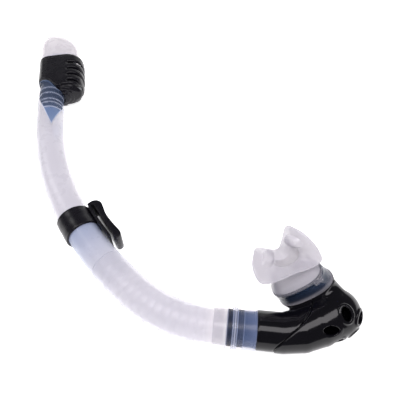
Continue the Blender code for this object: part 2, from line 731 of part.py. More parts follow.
def mouth_ring(half_width, half_height, along, power=2.6, count=24):
    """Oval ring across the mouthpiece's axis, a distance up that axis from the port."""
    centre = elbow_point(PORT_CENTRE) + MOUTH_AXIS * along
    ring = []
    for x, y in oval(half_width, half_height, power, count):
        ring.append(centre + MOUTH_WIDTH_AXIS * x + MOUTH_NEAR_AXIS * y)
    return ring


def elbow_form(name, inset, where, inlet_run=0.0, port_run=0.0):
    """Outside form of the elbow: inlet, bulb and oval neck, shrunk by an inset."""
    back = Vector((math.cos(JOINT_HEADING), math.sin(JOINT_HEADING), 0.0))
    stations = [
        (elbow_point(back * inlet_run), INLET_RADIUS - inset),
        (elbow_point(back * -19.0 * MM), INLET_RADIUS + 0.2 * MM - inset),
        (elbow_point(Vector((33.0, -0.4, 0.6)) * MM), 15.4 * MM - inset),
        (elbow_point(Vector((46.0, 5.2, 1.6)) * MM), 17.0 * MM - inset),
        (elbow_point(BULB_CENTRE), 17.7 * MM - inset),
    ]
    form = sweep(name, stations, where)
    bulb = ball(name + "_bulb", BULB_RADIUS - inset, elbow_point(BULB_CENTRE), where)
    deep = -19.0 * MM
    rings = [
        mouth_ring(11.0 * MM - inset, 10.5 * MM - inset, deep, 2.0),
        mouth_ring(20.5 * MM - inset, 12.6 * MM - inset, -11.0 * MM, 2.2),
        mouth_ring(PORT_HALF_WIDTH - inset, PORT_HALF_HEIGHT - inset, port_run, 2.6),
    ]
    neck = loft(name + "_neck", rings, where)
    return combine(form, "UNION", bulb, neck, solver="MANIFOLD")


def seam_block(name, near, far, where):
    """Slab across the seam, between two distances along the seam's normal."""
    across = Vector((0.0, 0.0, 1.0)).cross(SEAM_NORMAL)
    frame_turn = Matrix((SEAM_NORMAL, across, Vector((0.0, 0.0, 1.0)))).transposed().to_4x4()
    slab = box(name, (far - near, 260 * MM, 160 * MM), ((near + far) / 2, 0.0, 0.0), where)
    slab.matrix_world = Matrix.Translation(elbow_point(SEAM_POINT)) @ frame_turn
    return slab


def make_elbow_body(cutters, parts, look):
    """Inlet, bulb side and mouthpiece port with its spigot."""
    body = elbow_form("elbow_body", 0.0, cutters)
    spigot_rings = [
        mouth_ring(18.6 * MM, 7.6 * MM, -4.0 * MM),
        mouth_ring(18.6 * MM, 7.6 * MM, 12.0 * MM),
    ]
    spigot = loft("port_spigot", spigot_rings, cutters)
    room = elbow_form("elbow_room", SHELL_WALL, cutters, inlet_run=3 * MM, port_run=-2.4 * MM)
    bore_rings = [
        mouth_ring(16.6 * MM, 5.6 * MM, -14.0 * MM),
        mouth_ring(16.6 * MM, 5.6 * MM, 15.0 * MM),
    ]
    bore = loft("port_bore", bore_rings, cutters)
    far_side = seam_block("cover_side", -GAP / 2, 90 * MM, cutters)
    combine(body, "UNION", spigot, solver="MANIFOLD")
    combine(body, "DIFFERENCE", room, bore, far_side, solver="MANIFOLD")
    return finish(body, "elbow_body", look, parts)


def vent_direction(index):
    """Direction from the bulb's centre through one vent."""
    turn = 2 * math.pi * index / VENT_COUNT + VENT_START
    side = VENT_AXIS.cross(Vector((0.0, 0.0, 1.0))).normalized()
    out = side * math.cos(turn) + VENT_AXIS.cross(side) * math.sin(turn)
    return VENT_AXIS * math.cos(VENT_POLAR) + out * math.sin(VENT_POLAR)


def make_purge_cover(cutters, parts, look):
    """Vented cap of the bulb beyond the seam."""
    cover = elbow_form("purge_cover", 0.0, cutters)
    room = elbow_form("cover_room", SHELL_WALL - 0.2 * MM, cutters, inlet_run=3 * MM, port_run=3 * MM)
    near_side = seam_block("body_side", -120 * MM, GAP / 2, cutters)
    combine(cover, "DIFFERENCE", room, near_side, solver="MANIFOLD")
    for index in range(VENT_COUNT):
        direction = vent_direction(index)
        radial = (direction - VENT_AXIS * direction.dot(VENT_AXIS)).normalized()
        long_axis = (radial - direction * radial.dot(direction)).normalized()
        short_axis = direction.cross(long_axis)
        centre = elbow_point(BULB_CENTRE) + direction * BULB_RADIUS
        rings = []
        for depth in (-6.0 * MM, 4.0 * MM):
            ring = []
            for x, y in oval(5.4 * MM, 3.7 * MM, 2.0, 16):
                ring.append(centre + direction * depth + long_axis * x + short_axis * y)
            rings.append(ring)
        combine(cover, "DIFFERENCE", loft("vent_%d" % index, rings, cutters), solver="MANIFOLD")
    return finish(cover, "purge_cover", look, parts)


def purge_frame(cutters):
    """Frame of the purge valve: Z along the seam's normal."""
    across = Vector((0.0, 0.0, 1.0)).cross(SEAM_NORMAL)
    centre = elbow_point(SEAM_POINT) + across * 3.0 * MM + Vector((0.0, 0.0, 1.5 * MM))
    return frame_empty("purge_frame", cutters, centre, (across, Vector((0.0, 0.0, 1.0)), SEAM_NORMAL))


def make_purge_seat(cutters, parts, frame, look):
    """Plate that fills the elbow's opening, with six ports and a hole for the stem."""
    seat = elbow_form("purge_seat", SHELL_WALL + GAP, cutters, port_run=-2.4 * MM)
    slab = seam_block("seat_slab", -3.4 * MM, -1.0 * MM, cutters)
    combine(seat, "INTERSECT", slab, solver="MANIFOLD")
    stem = cylinder("stem_hole", 1.7 * MM, 12 * MM, (0, 0, 0), cutters, frame, 16)
    combine(seat, "DIFFERENCE", stem)
    for index in range(6):
        angle = 2 * math.pi * index / 6
        place = (6.3 * MM * math.cos(angle), 6.3 * MM * math.sin(angle), 0.0)
        port = cylinder("seat_port_%d" % index, 2.4 * MM, 12 * MM, place, cutters, frame, 12)
        combine(seat, "DIFFERENCE", port)
    return finish(seat, "purge_seat", look, parts)


def make_purge_valve(cutters, parts, frame, look):
    """Thin disc on the seat's outer side, with a stem through the seat."""
    face = -1.0 * MM + GAP
    outline = [
        (0.0, face + 2.0 * MM), (2.2 * MM, face + 1.6 * MM), (10.6 * MM, face + 0.9 * MM),
        (10.8 * MM, face), (1.4 * MM, face), (1.4 * MM, -5.2 * MM), (0.0, -6.0 * MM),
    ]
    valve = lathe("purge_valve", outline, parts, frame)
    return finish(valve, "purge_valve", look, parts)


# ---------------------------------------------------------------- mouthpiece

def flange_point(x, y, lift):
    """Point on the flange, which arches round the teeth; lift is square to its face."""
    centre = elbow_point(PORT_CENTRE) + MOUTH_AXIS * COLLAR_LENGTH + NECK_OFFSET
    rise = FLANGE_SPREAD * (x / FLANGE_HALF_WIDTH) ** 2
    slope = 2 * FLANGE_SPREAD * x / FLANGE_HALF_WIDTH ** 2
    square = (FLANGE_AXIS - FLANGE_WIDTH_AXIS * slope).normalized()
    return centre + FLANGE_WIDTH_AXIS * x + FLANGE_NEAR_AXIS * y + FLANGE_AXIS * rise + square * lift


def flange_ring(share, lift, count):
    """Ring of the flange between its bore (0) and its rounded rim (1)."""
    inner = oval(9.0 * MM, 4.5 * MM, 2.4, count)
    rim = oval(FLANGE_HALF_WIDTH, FLANGE_HALF_HEIGHT, 2.35, count)
    ring = []
    for (x, y), (rim_x, rim_y) in zip(inner, rim):
        ring.append(flange_point(x + (rim_x - x) * share, y + (rim_y - y) * share, lift))
    return ring


def make_mouthpiece(cutters, parts, look):
    """Collar, neck and flange as one skin, with two bite tabs."""
    count = 32
    top = COLLAR_LENGTH
    rings = [
        mouth_ring(19.0 * MM, 8.0 * MM, 0.4 * MM, count=count),
        mouth_ring(PORT_HALF_WIDTH, PORT_HALF_HEIGHT, 0.4 * MM, count=count),
        mouth_ring(21.8 * MM, 10.8 * MM, 2.5 * MM, count=count),
        mouth_ring(18.6 * MM, 9.4 * MM, top, count=count),
        flange_ring(0.15, -3.0 * MM, count), flange_ring(0.5, -1.0 * MM, count),
        flange_ring(1.0, 0.0, count), flange_ring(1.0, 1.8 * MM, count),
        flange_ring(0.5, 1.0 * MM, count), flange_ring(0.0, 0.0, count),
        mouth_ring(14.0 * MM, 6.0 * MM, top + 1 * MM, count=count),
        mouth_ring(19.0 * MM, 8.0 * MM, top - 2.4 * MM, count=count),
    ]
    mouthpiece = loft("mouthpiece", rings, cutters, closed=True)
    for side in (-1, 1):
        tab_rings = []
        for lift, half_width, half_height in ((0.2, 2.2, 5.6), (4.4, 1.9, 5.2), (5.2, 1.4, 4.6)):
            ring = []
            for x, y in oval(half_width * MM, half_height * MM, 3.2, 16):
                ring.append(flange_point(side * 11.8 * MM + x, y, lift * MM))
            tab_rings.append(ring)
        combine(mouthpiece, "UNION", loft("bite_tab_%d" % side, tab_rings, cutters))
    return finish(mouthpiece, "mouthpiece", look, parts)


def make_mouthpiece_tie(cutters, parts, look):
    """Tie band round the collar's top, with its head at one end."""
    low = COLLAR_LENGTH - 3.4 * MM
    high = COLLAR_LENGTH - 0.6 * MM
    rings = [
        mouth_ring(19.8 * MM, 10.3 * MM, low), mouth_ring(20.8 * MM, 11.3 * MM, low),
        mouth_ring(20.3 * MM, 11.0 * MM, high), mouth_ring(19.4 * MM, 10.0 * MM, high),
    ]
    band = loft("mouthpiece_tie", rings, cutters, closed=True)
    turn = Matrix((MOUTH_WIDTH_AXIS, MOUTH_NEAR_AXIS, MOUTH_AXIS)).transposed().to_4x4()
    head = box("tie_head", (5.0 * MM, 3.6 * MM, 4.2 * MM), (-15.2 * MM, 11.2 * MM, 0.0), cutters)
    centre = elbow_point(PORT_CENTRE) + MOUTH_AXIS * (low + high) / 2
    head.matrix_world = Matrix.Translation(centre) @ turn
    combine(band, "UNION", head)
    return finish(band, "mouthpiece_tie", look, parts)


# ---------------------------------------------------------------- assembly

def main():
    clear_scene()
    parts = make_collection("snorkel")
    cutters = make_collection("snorkel_cutters")
    milky = material("milky_silicone", (0.78, 0.77, 0.84), 0.35, 0.6)
    clear = material("clear_silicone", (0.80, 0.82, 0.88), 0.15, 0.45)
    gloss = material("gloss_black", (0.012, 0.012, 0.014), 0.12)
    matte = material("black_plastic", (0.02, 0.02, 0.024), 0.35)
    foam = material("float_grey", (0.30, 0.31, 0.33), 0.5)
    soft = material("seal_silicone", (0.55, 0.57, 0.62), 0.45)

    joint_frame = path_empty("joint_frame", 0.0, cutters)
    keeper_frame = path_empty("keeper_frame", KEEPER_LOW + KEEPER_WIDTH / 2, cutters)
    top_frame = path_empty("top_frame", ARCS_END, cutters)
    valve_frame = purge_frame(cutters)

    make_upper_tube(cutters, parts, top_frame, milky)
    make_flex_hose(cutters, parts, milky)
    make_coupling_cuff(cutters, parts, joint_frame, clear)
    make_hose_connector(cutters, parts, joint_frame, matte)
    make_mask_keeper(cutters, parts, keeper_frame, matte)
    make_valve_housing(cutters, parts, top_frame, matte)
    make_chamber_base(cutters, parts, top_frame, matte)
    make_top_cap(cutters, parts, top_frame, milky)
    make_top_adaptor(cutters, parts, top_frame, matte)
    make_float(cutters, parts, top_frame, foam)
    make_lever_bracket(cutters, parts, top_frame, matte)
    make_lever_pin(cutters, parts, top_frame, soft)
    rocker = rocker_frame(top_frame, cutters)
    make_float_lever(cutters, parts, rocker, matte)
    make_valve_seal(cutters, parts, rocker, soft)
    make_seal_rivet(cutters, parts, rocker, soft)
    make_elbow_body(cutters, parts, gloss)
    make_purge_cover(cutters, parts, gloss)
    make_purge_seat(cutters, parts, valve_frame, matte)
    make_purge_valve(cutters, parts, valve_frame, soft)
    make_mouthpiece(cutters, parts, clear)
    make_mouthpiece_tie(cutters, parts, clear)
    bpy.context.view_layer.update()


main()
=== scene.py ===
import math

import bmesh
import bpy
import numpy as np
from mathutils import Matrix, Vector


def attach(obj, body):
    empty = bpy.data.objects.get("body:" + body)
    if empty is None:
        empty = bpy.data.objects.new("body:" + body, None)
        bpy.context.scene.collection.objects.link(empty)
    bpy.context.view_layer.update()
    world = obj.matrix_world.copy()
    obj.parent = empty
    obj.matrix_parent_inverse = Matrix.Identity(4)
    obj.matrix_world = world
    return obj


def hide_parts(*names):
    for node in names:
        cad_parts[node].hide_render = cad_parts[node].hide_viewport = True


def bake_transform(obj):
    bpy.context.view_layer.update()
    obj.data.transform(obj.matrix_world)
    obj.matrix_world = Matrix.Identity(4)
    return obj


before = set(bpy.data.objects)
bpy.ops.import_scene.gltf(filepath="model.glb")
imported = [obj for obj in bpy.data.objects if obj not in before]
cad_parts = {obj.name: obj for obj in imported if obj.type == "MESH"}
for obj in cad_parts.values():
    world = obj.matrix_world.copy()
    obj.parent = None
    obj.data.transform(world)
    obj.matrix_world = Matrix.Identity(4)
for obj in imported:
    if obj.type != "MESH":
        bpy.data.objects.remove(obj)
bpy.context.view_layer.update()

MM = 0.001

# ------------------------------------------------------------------ dimensions, in millimetres

UP = np.array((0.0, 0.0, 1.0))

# The centreline runs up from the elbow's joint: length and curvature of each stretch.
JOINT = np.array((71.35, -163.6, 15.5))
HEADING = math.radians(174)
COUPLING = np.array((math.cos(HEADING), math.sin(HEADING), 0.0))
HOSE_ARC_RADIUS = 103.0
UPPER_ARC_RADIUS = 310.0
RUNS = (
    (33.0, 0.0),
    (HOSE_ARC_RADIUS * math.radians(35.5), 1 / HOSE_ARC_RADIUS),
    (UPPER_ARC_RADIUS * math.radians(39.4), 1 / UPPER_ARC_RADIUS),
    (math.inf, 0.0),
)
ARCS_END = RUNS[0][0] + RUNS[1][0] + RUNS[2][0]
CUFF_CONE = 21.5
CUFF_END = 31.0
CUFF_RADIUS = 15.4
HOSE_TOP = 132.0
HOSE_RADIUS = 13.9
HOSE_BORE = 11.6
SPIGOT_RADIUS = 11.3
TUBE_WALL = 1.8
KEEPER_MIDDLE = 177.5
KEEPER_HALF = 10.0

# The dry top's own frame: X to the float chamber, Y up the tube, Z up.
RIM_LEVEL = 51.0
RIM_SLOPE = -1.37
RIM_OUTER_SHARE = 0.40
RIM_LOWEST = 40.0
HOUSING_TOP = 91.0
CAP_TOP = 143.0
CAP_WALL = 1.5
CHAMBER_X = 23.8
STEM_TOP = 93.70
LOUVRE_PITCH = 9.7
FIRST_LOUVRE = 46.8
SEAT_TOP = 90.0
BARBS = (40.0, 32.0, 23.0, 18.0, 11.0)
TONGUE_X = 4.6
TONGUE_TIP = -13.0
TONGUE_SLOPES = (2.87, 3.3)


def unit(v):
    v = np.asarray(v, float)
    return v / np.linalg.norm(v)


# The elbow and the mouthpiece, from the joint.
INLET_BEND = (33.0, -0.6, 0.6)
BULB_BEND = (46.0, 4.8, 1.8)
BULB = np.array((58.4, 11.4, 3.0))
BULB_RADIUS = 18.3
SEAM_POINT = np.array((40.6, 11.4, 0.0))
SEAM_NORMAL = unit((0.672, -0.740, 0.0))
SEAM_WAY = np.array((0.740, 0.672, 0.0))
VENT_AXIS = unit((0.316, -0.855, 0.411))
VENT_COUNT = 5
VENT_POLAR = math.radians(40.4)
VENT_START = math.radians(-19.2)
PORT = np.array((38.0, 29.0, 10.0))
COLLAR = 17.0
MOUTH = unit((-0.596, 0.079, 0.799))
MOUTH_NEAR = unit(np.cross(MOUTH, (-0.797, -0.178, -0.577)))
MOUTH_WIDE = np.cross(MOUTH_NEAR, MOUTH)
FLANGE = unit((-0.602, 0.305, 0.738))
FLANGE_NEAR = unit(np.cross(FLANGE, (-0.766, -0.481, -0.426)))
FLANGE_WIDE = np.cross(FLANGE_NEAR, FLANGE)
FLANGE_CENTRE = JOINT + PORT + MOUTH * COLLAR + np.array((-5.4, 7.7, 12.4))
FLANGE_HALF_WIDTH = 16.8
FLANGE_HALF_HEIGHT = 17.1
FLANGE_SPREAD = 23.0
RIGHT_LOBE_SHARE = 0.86
RIGHT_LEAN = -0.72
LEFT_LEAN = 1.2
TAB_X = 11.8


# ------------------------------------------------------------------ places on the tube

def path(distance):
    """Point and heading on the centreline, a distance up from the elbow's joint."""
    point = JOINT.copy()
    heading = HEADING
    left = distance
    for length, curvature in RUNS:
        step = min(left, length)
        along = np.array((math.cos(heading), math.sin(heading), 0.0))
        if curvature:
            inward = np.array((math.sin(heading), -math.cos(heading), 0.0)) / curvature
            turn = step * curvature
            c, s = math.cos(-turn), math.sin(-turn)
            x, y, z = -inward
            point = point + inward + np.array((c * x - s * y, s * x + c * y, z))
            heading -= turn
        else:
            point = point + step * along
        left -= step
        if left <= 0.0:
            break
    return point, heading


def on_path(distance):
    """Centre, inward side and up of a section of the tube."""
    point, heading = path(distance)
    return point, np.array((math.sin(heading), -math.cos(heading), 0.0)), UP


TOP_POINT, TOP_HEADING = path(ARCS_END)
TOP_X = np.array((math.sin(TOP_HEADING), -math.cos(TOP_HEADING), 0.0))
TOP_Y = np.array((math.cos(TOP_HEADING), math.sin(TOP_HEADING), 0.0))


def top_place(points):
    """Points of the dry top's frame, out in the scene."""
    x, y, z = points.T
    return TOP_POINT + np.outer(x, TOP_X) + np.outer(y, TOP_Y) + np.outer(z, UP)


def rim_height(x):
    """Height of the housing's slanted lower rim, which is level where it meets the cup."""
    share = np.where(np.asarray(x) < 0, RIM_OUTER_SHARE, 1.0)
    return np.maximum(RIM_LEVEL + RIM_SLOPE * x * share, RIM_LOWEST)


def tube_radius(distance):
    share = min(1.0, (distance - HOSE_TOP) / (ARCS_END - HOSE_TOP))
    return 13.5 - 0.5 * share


# ------------------------------------------------------------------ mesh makers

def make_object(name, verts, faces, material, body=None, nodes=(), slot=None):
    mesh = bpy.data.meshes.new(name)
    mesh.from_pydata([tuple(v) for v in np.asarray(verts) * MM], [], [tuple(f) for f in faces])
    mesh.validate()
    made = bpy.data.objects.new(name, mesh)
    bpy.context.scene.collection.objects.link(made)
    clean(made)
    return dress(made, material, body, nodes, slot)


def clean(made):
    shape = bmesh.new()
    shape.from_mesh(made.data)
    bmesh.ops.remove_doubles(shape, verts=shape.verts, dist=0.00001)
    bmesh.ops.recalc_face_normals(shape, faces=shape.faces)
    shape.to_mesh(made.data)
    shape.free()


def dress(made, material, body=None, nodes=(), slot=None, angle=40):
    made.data.materials.clear()
    made.data.materials.append(material)
    made.data.shade_smooth()
    made.data.set_sharp_from_angle(angle=math.radians(angle))
    if body:
        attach(made, body)
    if nodes:
        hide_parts(*nodes)
    return made


def turned(profile, place, sides=64, closed=True, relief=None):
    """Vertices and faces of a profile swept round a bent axis.

    Each profile point is (distance, radius) or (distance, radius, share); the share adds that
    much of the slanted rim's height.  relief(distance, radius, angle) changes the radius.
    """
    verts = []
    for entry in profile:
        distance, radius = entry[0], entry[1]
        share = entry[2] if len(entry) > 2 else 0.0
        for i in range(sides):
            angle = 2 * math.pi * i / sides
            r = radius + (relief(distance, radius, angle) if relief else 0.0)
            at = distance + share * rim_height(r * math.cos(angle))
            centre, x, z = place(at) if share else place(distance)
            verts.append(centre + x * r * math.cos(angle) + z * r * math.sin(angle))
    faces = []
    count = len(profile)
    for row in range(count if closed else count - 1):
        low, high = row * sides, ((row + 1) % count) * sides
        for i in range(sides):
            j = (i + 1) % sides
            faces.append((low + i, low + j, high + j, high + i))
    return verts, faces


def rings_mesh(rings, closed=False):
    """Skin of equal rings; the ends are capped unless the rings close on themselves."""
    count = len(rings[0])
    verts = [p for ring in rings for p in ring]
    faces = []
    last = len(rings) if closed else len(rings) - 1
    for row in range(last):
        low, high = row * count, ((row + 1) % len(rings)) * count
        for i in range(count):
            j = (i + 1) % count
            faces.append((low + i, low + j, high + j, high + i))
    if not closed:
        faces.append(tuple(range(count)))
        faces.append(tuple(range((len(rings) - 1) * count, len(rings) * count)))
    return verts, faces


def oval(half_width, half_height, power, count):
    angle = np.arange(count) * 2 * math.pi / count
    c, s = np.cos(angle), np.sin(angle)
    x = np.sign(c) * np.abs(c) ** (2 / power) * half_width
    y = np.sign(s) * np.abs(s) ** (2 / power) * half_height
    return np.stack((x, y), 1)


def arc(x, y, rx, ry, start, end, steps):
    angle = np.radians(np.linspace(start, end, steps + 1))
    return [(x + rx * math.cos(a), y + ry * math.sin(a)) for a in angle]


def smooth_outline(points):
    """Closed outline with its corners cut twice."""
    p = np.array(points, float)
    for _ in range(2):
        q = np.roll(p, -1, 0)
        p = np.stack((p * 0.75 + q * 0.25, p * 0.25 + q * 0.75), 1).reshape(-1, 2)
    return p


def prism(name, outline, low, high, place, material, bevel):
    """Extruded outline with rounded edges; place turns (x, y, z) into a point."""
    count = len(outline)
    verts = [place(x, y, z) for z in (low, high) for x, y in outline]
    faces = [tuple(range(count)), tuple(range(count, 2 * count))]
    for i in range(count):
        j = (i + 1) % count
        faces.append((i, j, count + j, count + i))
    made = make_object(name, verts, faces, material)
    soften(made, bevel)
    return made


def soften(made, width):
    change = made.modifiers.new("edges", "BEVEL")
    change.width = width * MM
    change.segments = 3
    change.limit_method = "ANGLE"
    change.angle_limit = math.radians(45)
    change.harden_normals = False
    bake(made)


def bake(made):
    """Apply every modifier."""
    bpy.context.view_layer.update()
    seen = made.evaluated_get(bpy.context.evaluated_depsgraph_get())
    mesh = bpy.data.meshes.new_from_object(seen)
    made.modifiers.clear()
    made.data = mesh


def unite(target, *others, operation="UNION"):
    for other in others:
        change = target.modifiers.new("join", "BOOLEAN")
        change.operation = operation
        change.solver = "EXACT"
        change.object = other
    bake(target)
    for other in others:
        bpy.data.objects.remove(other, do_unlink=True)
    return target


# ------------------------------------------------------------------ solids from distance fields

def smin(a, b, k):
    h = np.clip(0.5 + 0.5 * (b - a) / k, 0, 1)
    return b * (1 - h) + a * h - k * h * (1 - h)


def smax(a, b, k):
    return -smin(-a, -b, k)


def ramp(x, low, high):
    t = np.clip((x - low) / (high - low), 0, 1)
    return t * t * (3 - 2 * t)


def net(field, low, high, step):
    """Surface net of field(points) = 0 in a box; points on it are pulled onto the field."""
    low = np.array(low, float)
    sizes = np.ceil((np.array(high, float) - low) / step).astype(int) + 1
    grid = np.stack(np.meshgrid(*[np.arange(n) for n in sizes], indexing="ij"), -1)
    d = field((low + grid.reshape(-1, 3) * step)).reshape(tuple(sizes)).astype(np.float64)
    cells = tuple(sizes - 1)
    count = np.zeros(cells)
    total = np.zeros(cells + (3,))
    crossings = []
    for axis in range(3):
        b, c = [k for k in range(3) if k != axis]
        lower = [slice(None)] * 3
        upper = [slice(None)] * 3
        lower[axis] = slice(0, -1)
        upper[axis] = slice(1, None)
        a0, a1 = d[tuple(lower)], d[tuple(upper)]
        cross = (a0 < 0) != (a1 < 0)
        share = np.where(cross, a0 / np.where(a0 == a1, 1, a0 - a1), 0)
        crossings.append((axis, b, c, cross, a0 < 0))
        for ob in (0, 1):
            for oc in (0, 1):
                window = [slice(None)] * 3
                window[b] = slice(ob, cells[b] + ob)
                window[c] = slice(oc, cells[c] + oc)
                hit = cross[tuple(window)]
                count += hit
                total[..., axis] += share[tuple(window)] * hit
                total[..., b] += hit * ob
                total[..., c] += hit * oc
    live = count > 0
    index = -np.ones(cells, int)
    index[live] = np.arange(live.sum())
    place = np.argwhere(live)
    points = low + (place + total[live] / count[live][:, None]) * step
    quads = []
    for axis, b, c, cross, inside in crossings:
        window = [slice(None)] * 3
        window[b] = slice(1, -1)
        window[c] = slice(1, -1)
        hits = np.argwhere(cross[tuple(window)])
        hits[:, b] += 1
        hits[:, c] += 1
        way = inside[tuple(hits.T)]
        corners = []
        for ob, oc in ((-1, -1), (0, -1), (0, 0), (-1, 0)):
            at = hits.copy()
            at[:, b] += ob
            at[:, c] += oc
            corners.append(index[tuple(at.T)])
        quad = np.stack(corners, 1)
        flip = way if axis != 1 else ~way
        quad[~flip] = quad[~flip][:, ::-1]
        quads.append(quad)
    faces = np.concatenate(quads)
    for _ in range(2):
        points = pull(field, points, step * 0.5)
    return points, faces


def pull(field, points, reach):
    value = field(points)
    slope = np.zeros_like(points)
    tiny = 0.05
    for k in range(3):
        nudge = np.zeros(3)
        nudge[k] = tiny
        slope[:, k] = (field(points + nudge) - field(points - nudge)) / (2 * tiny)
    size = np.maximum((slope ** 2).sum(1), 0.25)
    move = -value[:, None] * slope / size[:, None]
    length = np.linalg.norm(move, axis=1)
    move *= np.minimum(1, reach / np.maximum(length, 1e-9))[:, None]
    return points + move


def net_object(name, field, low, high, step, place, material, body, nodes, slot, angle=50):
    """Piece whose surface is field(points) = 0; place turns the field's points into the scene's."""
    points, faces = net(field, low, high, step)
    mesh = bpy.data.meshes.new(name)
    mesh.from_pydata((place(points) * MM).tolist(), [], faces.tolist())
    mesh.validate()
    made = bpy.data.objects.new(name, mesh)
    bpy.context.scene.collection.objects.link(made)
    clean(made)
    dress(made, material, body, nodes, slot, angle)


def taper(p, a, b, ra, rb):
    """Distance to a round bar whose radius changes along it, with rounded ends."""
    a, b = np.array(a, float), np.array(b, float)
    run = b - a
    t = np.clip(((p - a) @ run) / (run @ run), 0, 1)
    return np.linalg.norm(p - a - t[:, None] * run, axis=1) - (ra + (rb - ra) * t)


# ------------------------------------------------------------------ materials

def nodes_of(name):
    material = bpy.data.materials.new(name)
    material.use_nodes = True
    tree = material.node_tree
    shader = tree.nodes["Principled BSDF"]
    return material, tree, shader


def noise(tree, scale, detail=3.0):
    coordinate = tree.nodes.new("ShaderNodeTexCoord")
    texture = tree.nodes.new("ShaderNodeTexNoise")
    texture.inputs["Scale"].default_value = scale
    texture.inputs["Detail"].default_value = detail
    tree.links.new(coordinate.outputs["Object"], texture.inputs["Vector"])
    return texture.outputs["Fac"]


def spread(tree, source, low, high):
    scale = tree.nodes.new("ShaderNodeMapRange")
    scale.inputs["From Min"].default_value = 0.3
    scale.inputs["From Max"].default_value = 0.7
    scale.inputs["To Min"].default_value = low
    scale.inputs["To Max"].default_value = high
    tree.links.new(source, scale.inputs["Value"])
    return scale.outputs["Result"]


def shades(tree, source, first, second):
    mix = tree.nodes.new("ShaderNodeMix")
    mix.data_type = "RGBA"
    mix.inputs["A"].default_value = (*first, 1)
    mix.inputs["B"].default_value = (*second, 1)
    tree.links.new(source, mix.inputs["Factor"])
    return mix.outputs["Result"]


def bump(tree, source, shader, strength, distance):
    node = tree.nodes.new("ShaderNodeBump")
    node.inputs["Strength"].default_value = strength
    node.inputs["Distance"].default_value = distance
    tree.links.new(source, node.inputs["Height"])
    tree.links.new(node.outputs["Normal"], shader.inputs["Normal"])


def plastic(name, first, second, rough, grain, strength, coat=0.0, specular=0.5):
    """Moulded plastic: shade drifts slightly, fine grain, uneven gloss."""
    material, tree, shader = nodes_of(name)
    drift = noise(tree, 45.0)
    tree.links.new(shades(tree, drift, first, second), shader.inputs["Base Color"])
    tree.links.new(spread(tree, noise(tree, 160.0), *rough), shader.inputs["Roughness"])
    bump(tree, noise(tree, grain, 4.0), shader, strength, 0.0002)
    shader.inputs["Coat Weight"].default_value = coat
    shader.inputs["Coat Roughness"].default_value = 0.06
    shader.inputs["Specular IOR Level"].default_value = specular
    return material


def silicone(name, white, blue, tint, rough, grain=260.0):
    """Milky see-through rubber.

    The vertex attribute milk says how much its own colour covers what lies behind, and hue
    turns that colour from white to the blue of thin rubber over something dark. Below the
    keeper's clip, on the hose's upper end and at the cap's foot, that blue is painted shade.
    """
    material, tree, shader = nodes_of(name)
    body = []
    for colour in (white, blue):
        body.append(shades(tree, noise(tree, 60.0), colour, tuple(c * 0.94 for c in colour)))
    hue = tree.nodes.new("ShaderNodeAttribute")
    hue.attribute_name = "hue"
    blend = tree.nodes.new("ShaderNodeMix")
    blend.data_type = "RGBA"
    tree.links.new(hue.outputs["Fac"], blend.inputs["Factor"])
    tree.links.new(body[0], blend.inputs["A"])
    tree.links.new(body[1], blend.inputs["B"])
    tree.links.new(blend.outputs["Result"], shader.inputs["Base Color"])
    tree.links.new(spread(tree, noise(tree, 120.0), *rough), shader.inputs["Roughness"])
    bump(tree, noise(tree, grain, 4.0), shader, 0.12, 0.0002)
    shader.inputs["Coat Weight"].default_value = 0.25
    shader.inputs["Coat Roughness"].default_value = 0.12
    clear = tree.nodes.new("ShaderNodeBsdfTransparent")
    clear.inputs["Color"].default_value = (*tint, 1)
    mix = tree.nodes.new("ShaderNodeMixShader")
    milk = tree.nodes.new("ShaderNodeAttribute")
    milk.attribute_name = "milk"
    tree.links.new(milk.outputs["Fac"], mix.inputs["Fac"])
    tree.links.new(clear.outputs["BSDF"], mix.inputs[1])
    tree.links.new(shader.outputs["BSDF"], mix.inputs[2])
    tree.links.new(mix.outputs["Shader"], tree.nodes["Material Output"].inputs["Surface"])
    return material


def paint(made, milk, hue):
    """Store milk and hue, each a function of the points (mm), on a piece's vertices."""
    points = np.array([v.co for v in made.data.vertices]) / MM
    for name, share in (("milk", milk), ("hue", hue)):
        layer = made.data.attributes.new(name, "FLOAT", "POINT")
        layer.data.foreach_set("value", np.asarray(share(points), np.float32))


def steady(value):
    return lambda points: np.full(len(points), value)


def run_of(points):
    """Distance along the lower path of each point, read from the sampled centreline."""
    stations = np.arange(-10.0, ARCS_END + 80.0, 1.0)
    places = np.array([path(d)[0][:2] for d in stations])
    gaps = ((points[:, None, :2] - places[None]) ** 2).sum(2)
    near = np.clip(gaps.argmin(1), 1, len(stations) - 2)
    ways = places[near + 1] - places[near]
    return stations[near] + ((points[:, :2] - places[near]) * ways).sum(1)


GLOSS = plastic("gloss_black_moulding", (0.0030, 0.0028, 0.0045), (0.0050, 0.0045, 0.0070),
                (0.08, 0.16), 420.0, 0.05, coat=0.12, specular=0.24)
SATIN = plastic("satin_black_moulding", (0.0060, 0.0056, 0.0090), (0.0090, 0.0080, 0.0120),
                (0.22, 0.34), 900.0, 0.10, specular=0.28)
INSERT = plastic("insert_moulding", (0.020, 0.026, 0.050), (0.030, 0.038, 0.066),
                 (0.35, 0.5), 700.0, 0.2, specular=0.3)
INNER = plastic("inner_black_moulding", (0.012, 0.012, 0.015), (0.020, 0.020, 0.024),
                (0.35, 0.5), 700.0, 0.2, specular=0.3)
FLOAT = plastic("float_foam", (0.22, 0.23, 0.25), (0.30, 0.31, 0.33), (0.5, 0.7), 1500.0, 0.4)
SEAL = plastic("seal_rubber", (0.40, 0.43, 0.50), (0.48, 0.50, 0.57), (0.4, 0.55), 800.0, 0.2)
PIN = plastic("pin_steel", (0.42, 0.42, 0.43), (0.50, 0.50, 0.51), (0.25, 0.35), 1200.0, 0.1)
PIN.node_tree.nodes["Principled BSDF"].inputs["Metallic"].default_value = 1.0
WHITE = (0.93, 0.92, 1.0)
# Blues of thin rubber over something dark; on the hose, on the cap and on the tube below the keeper's clip
# they are painted shade
BLUE = (0.17, 0.34, 0.82)
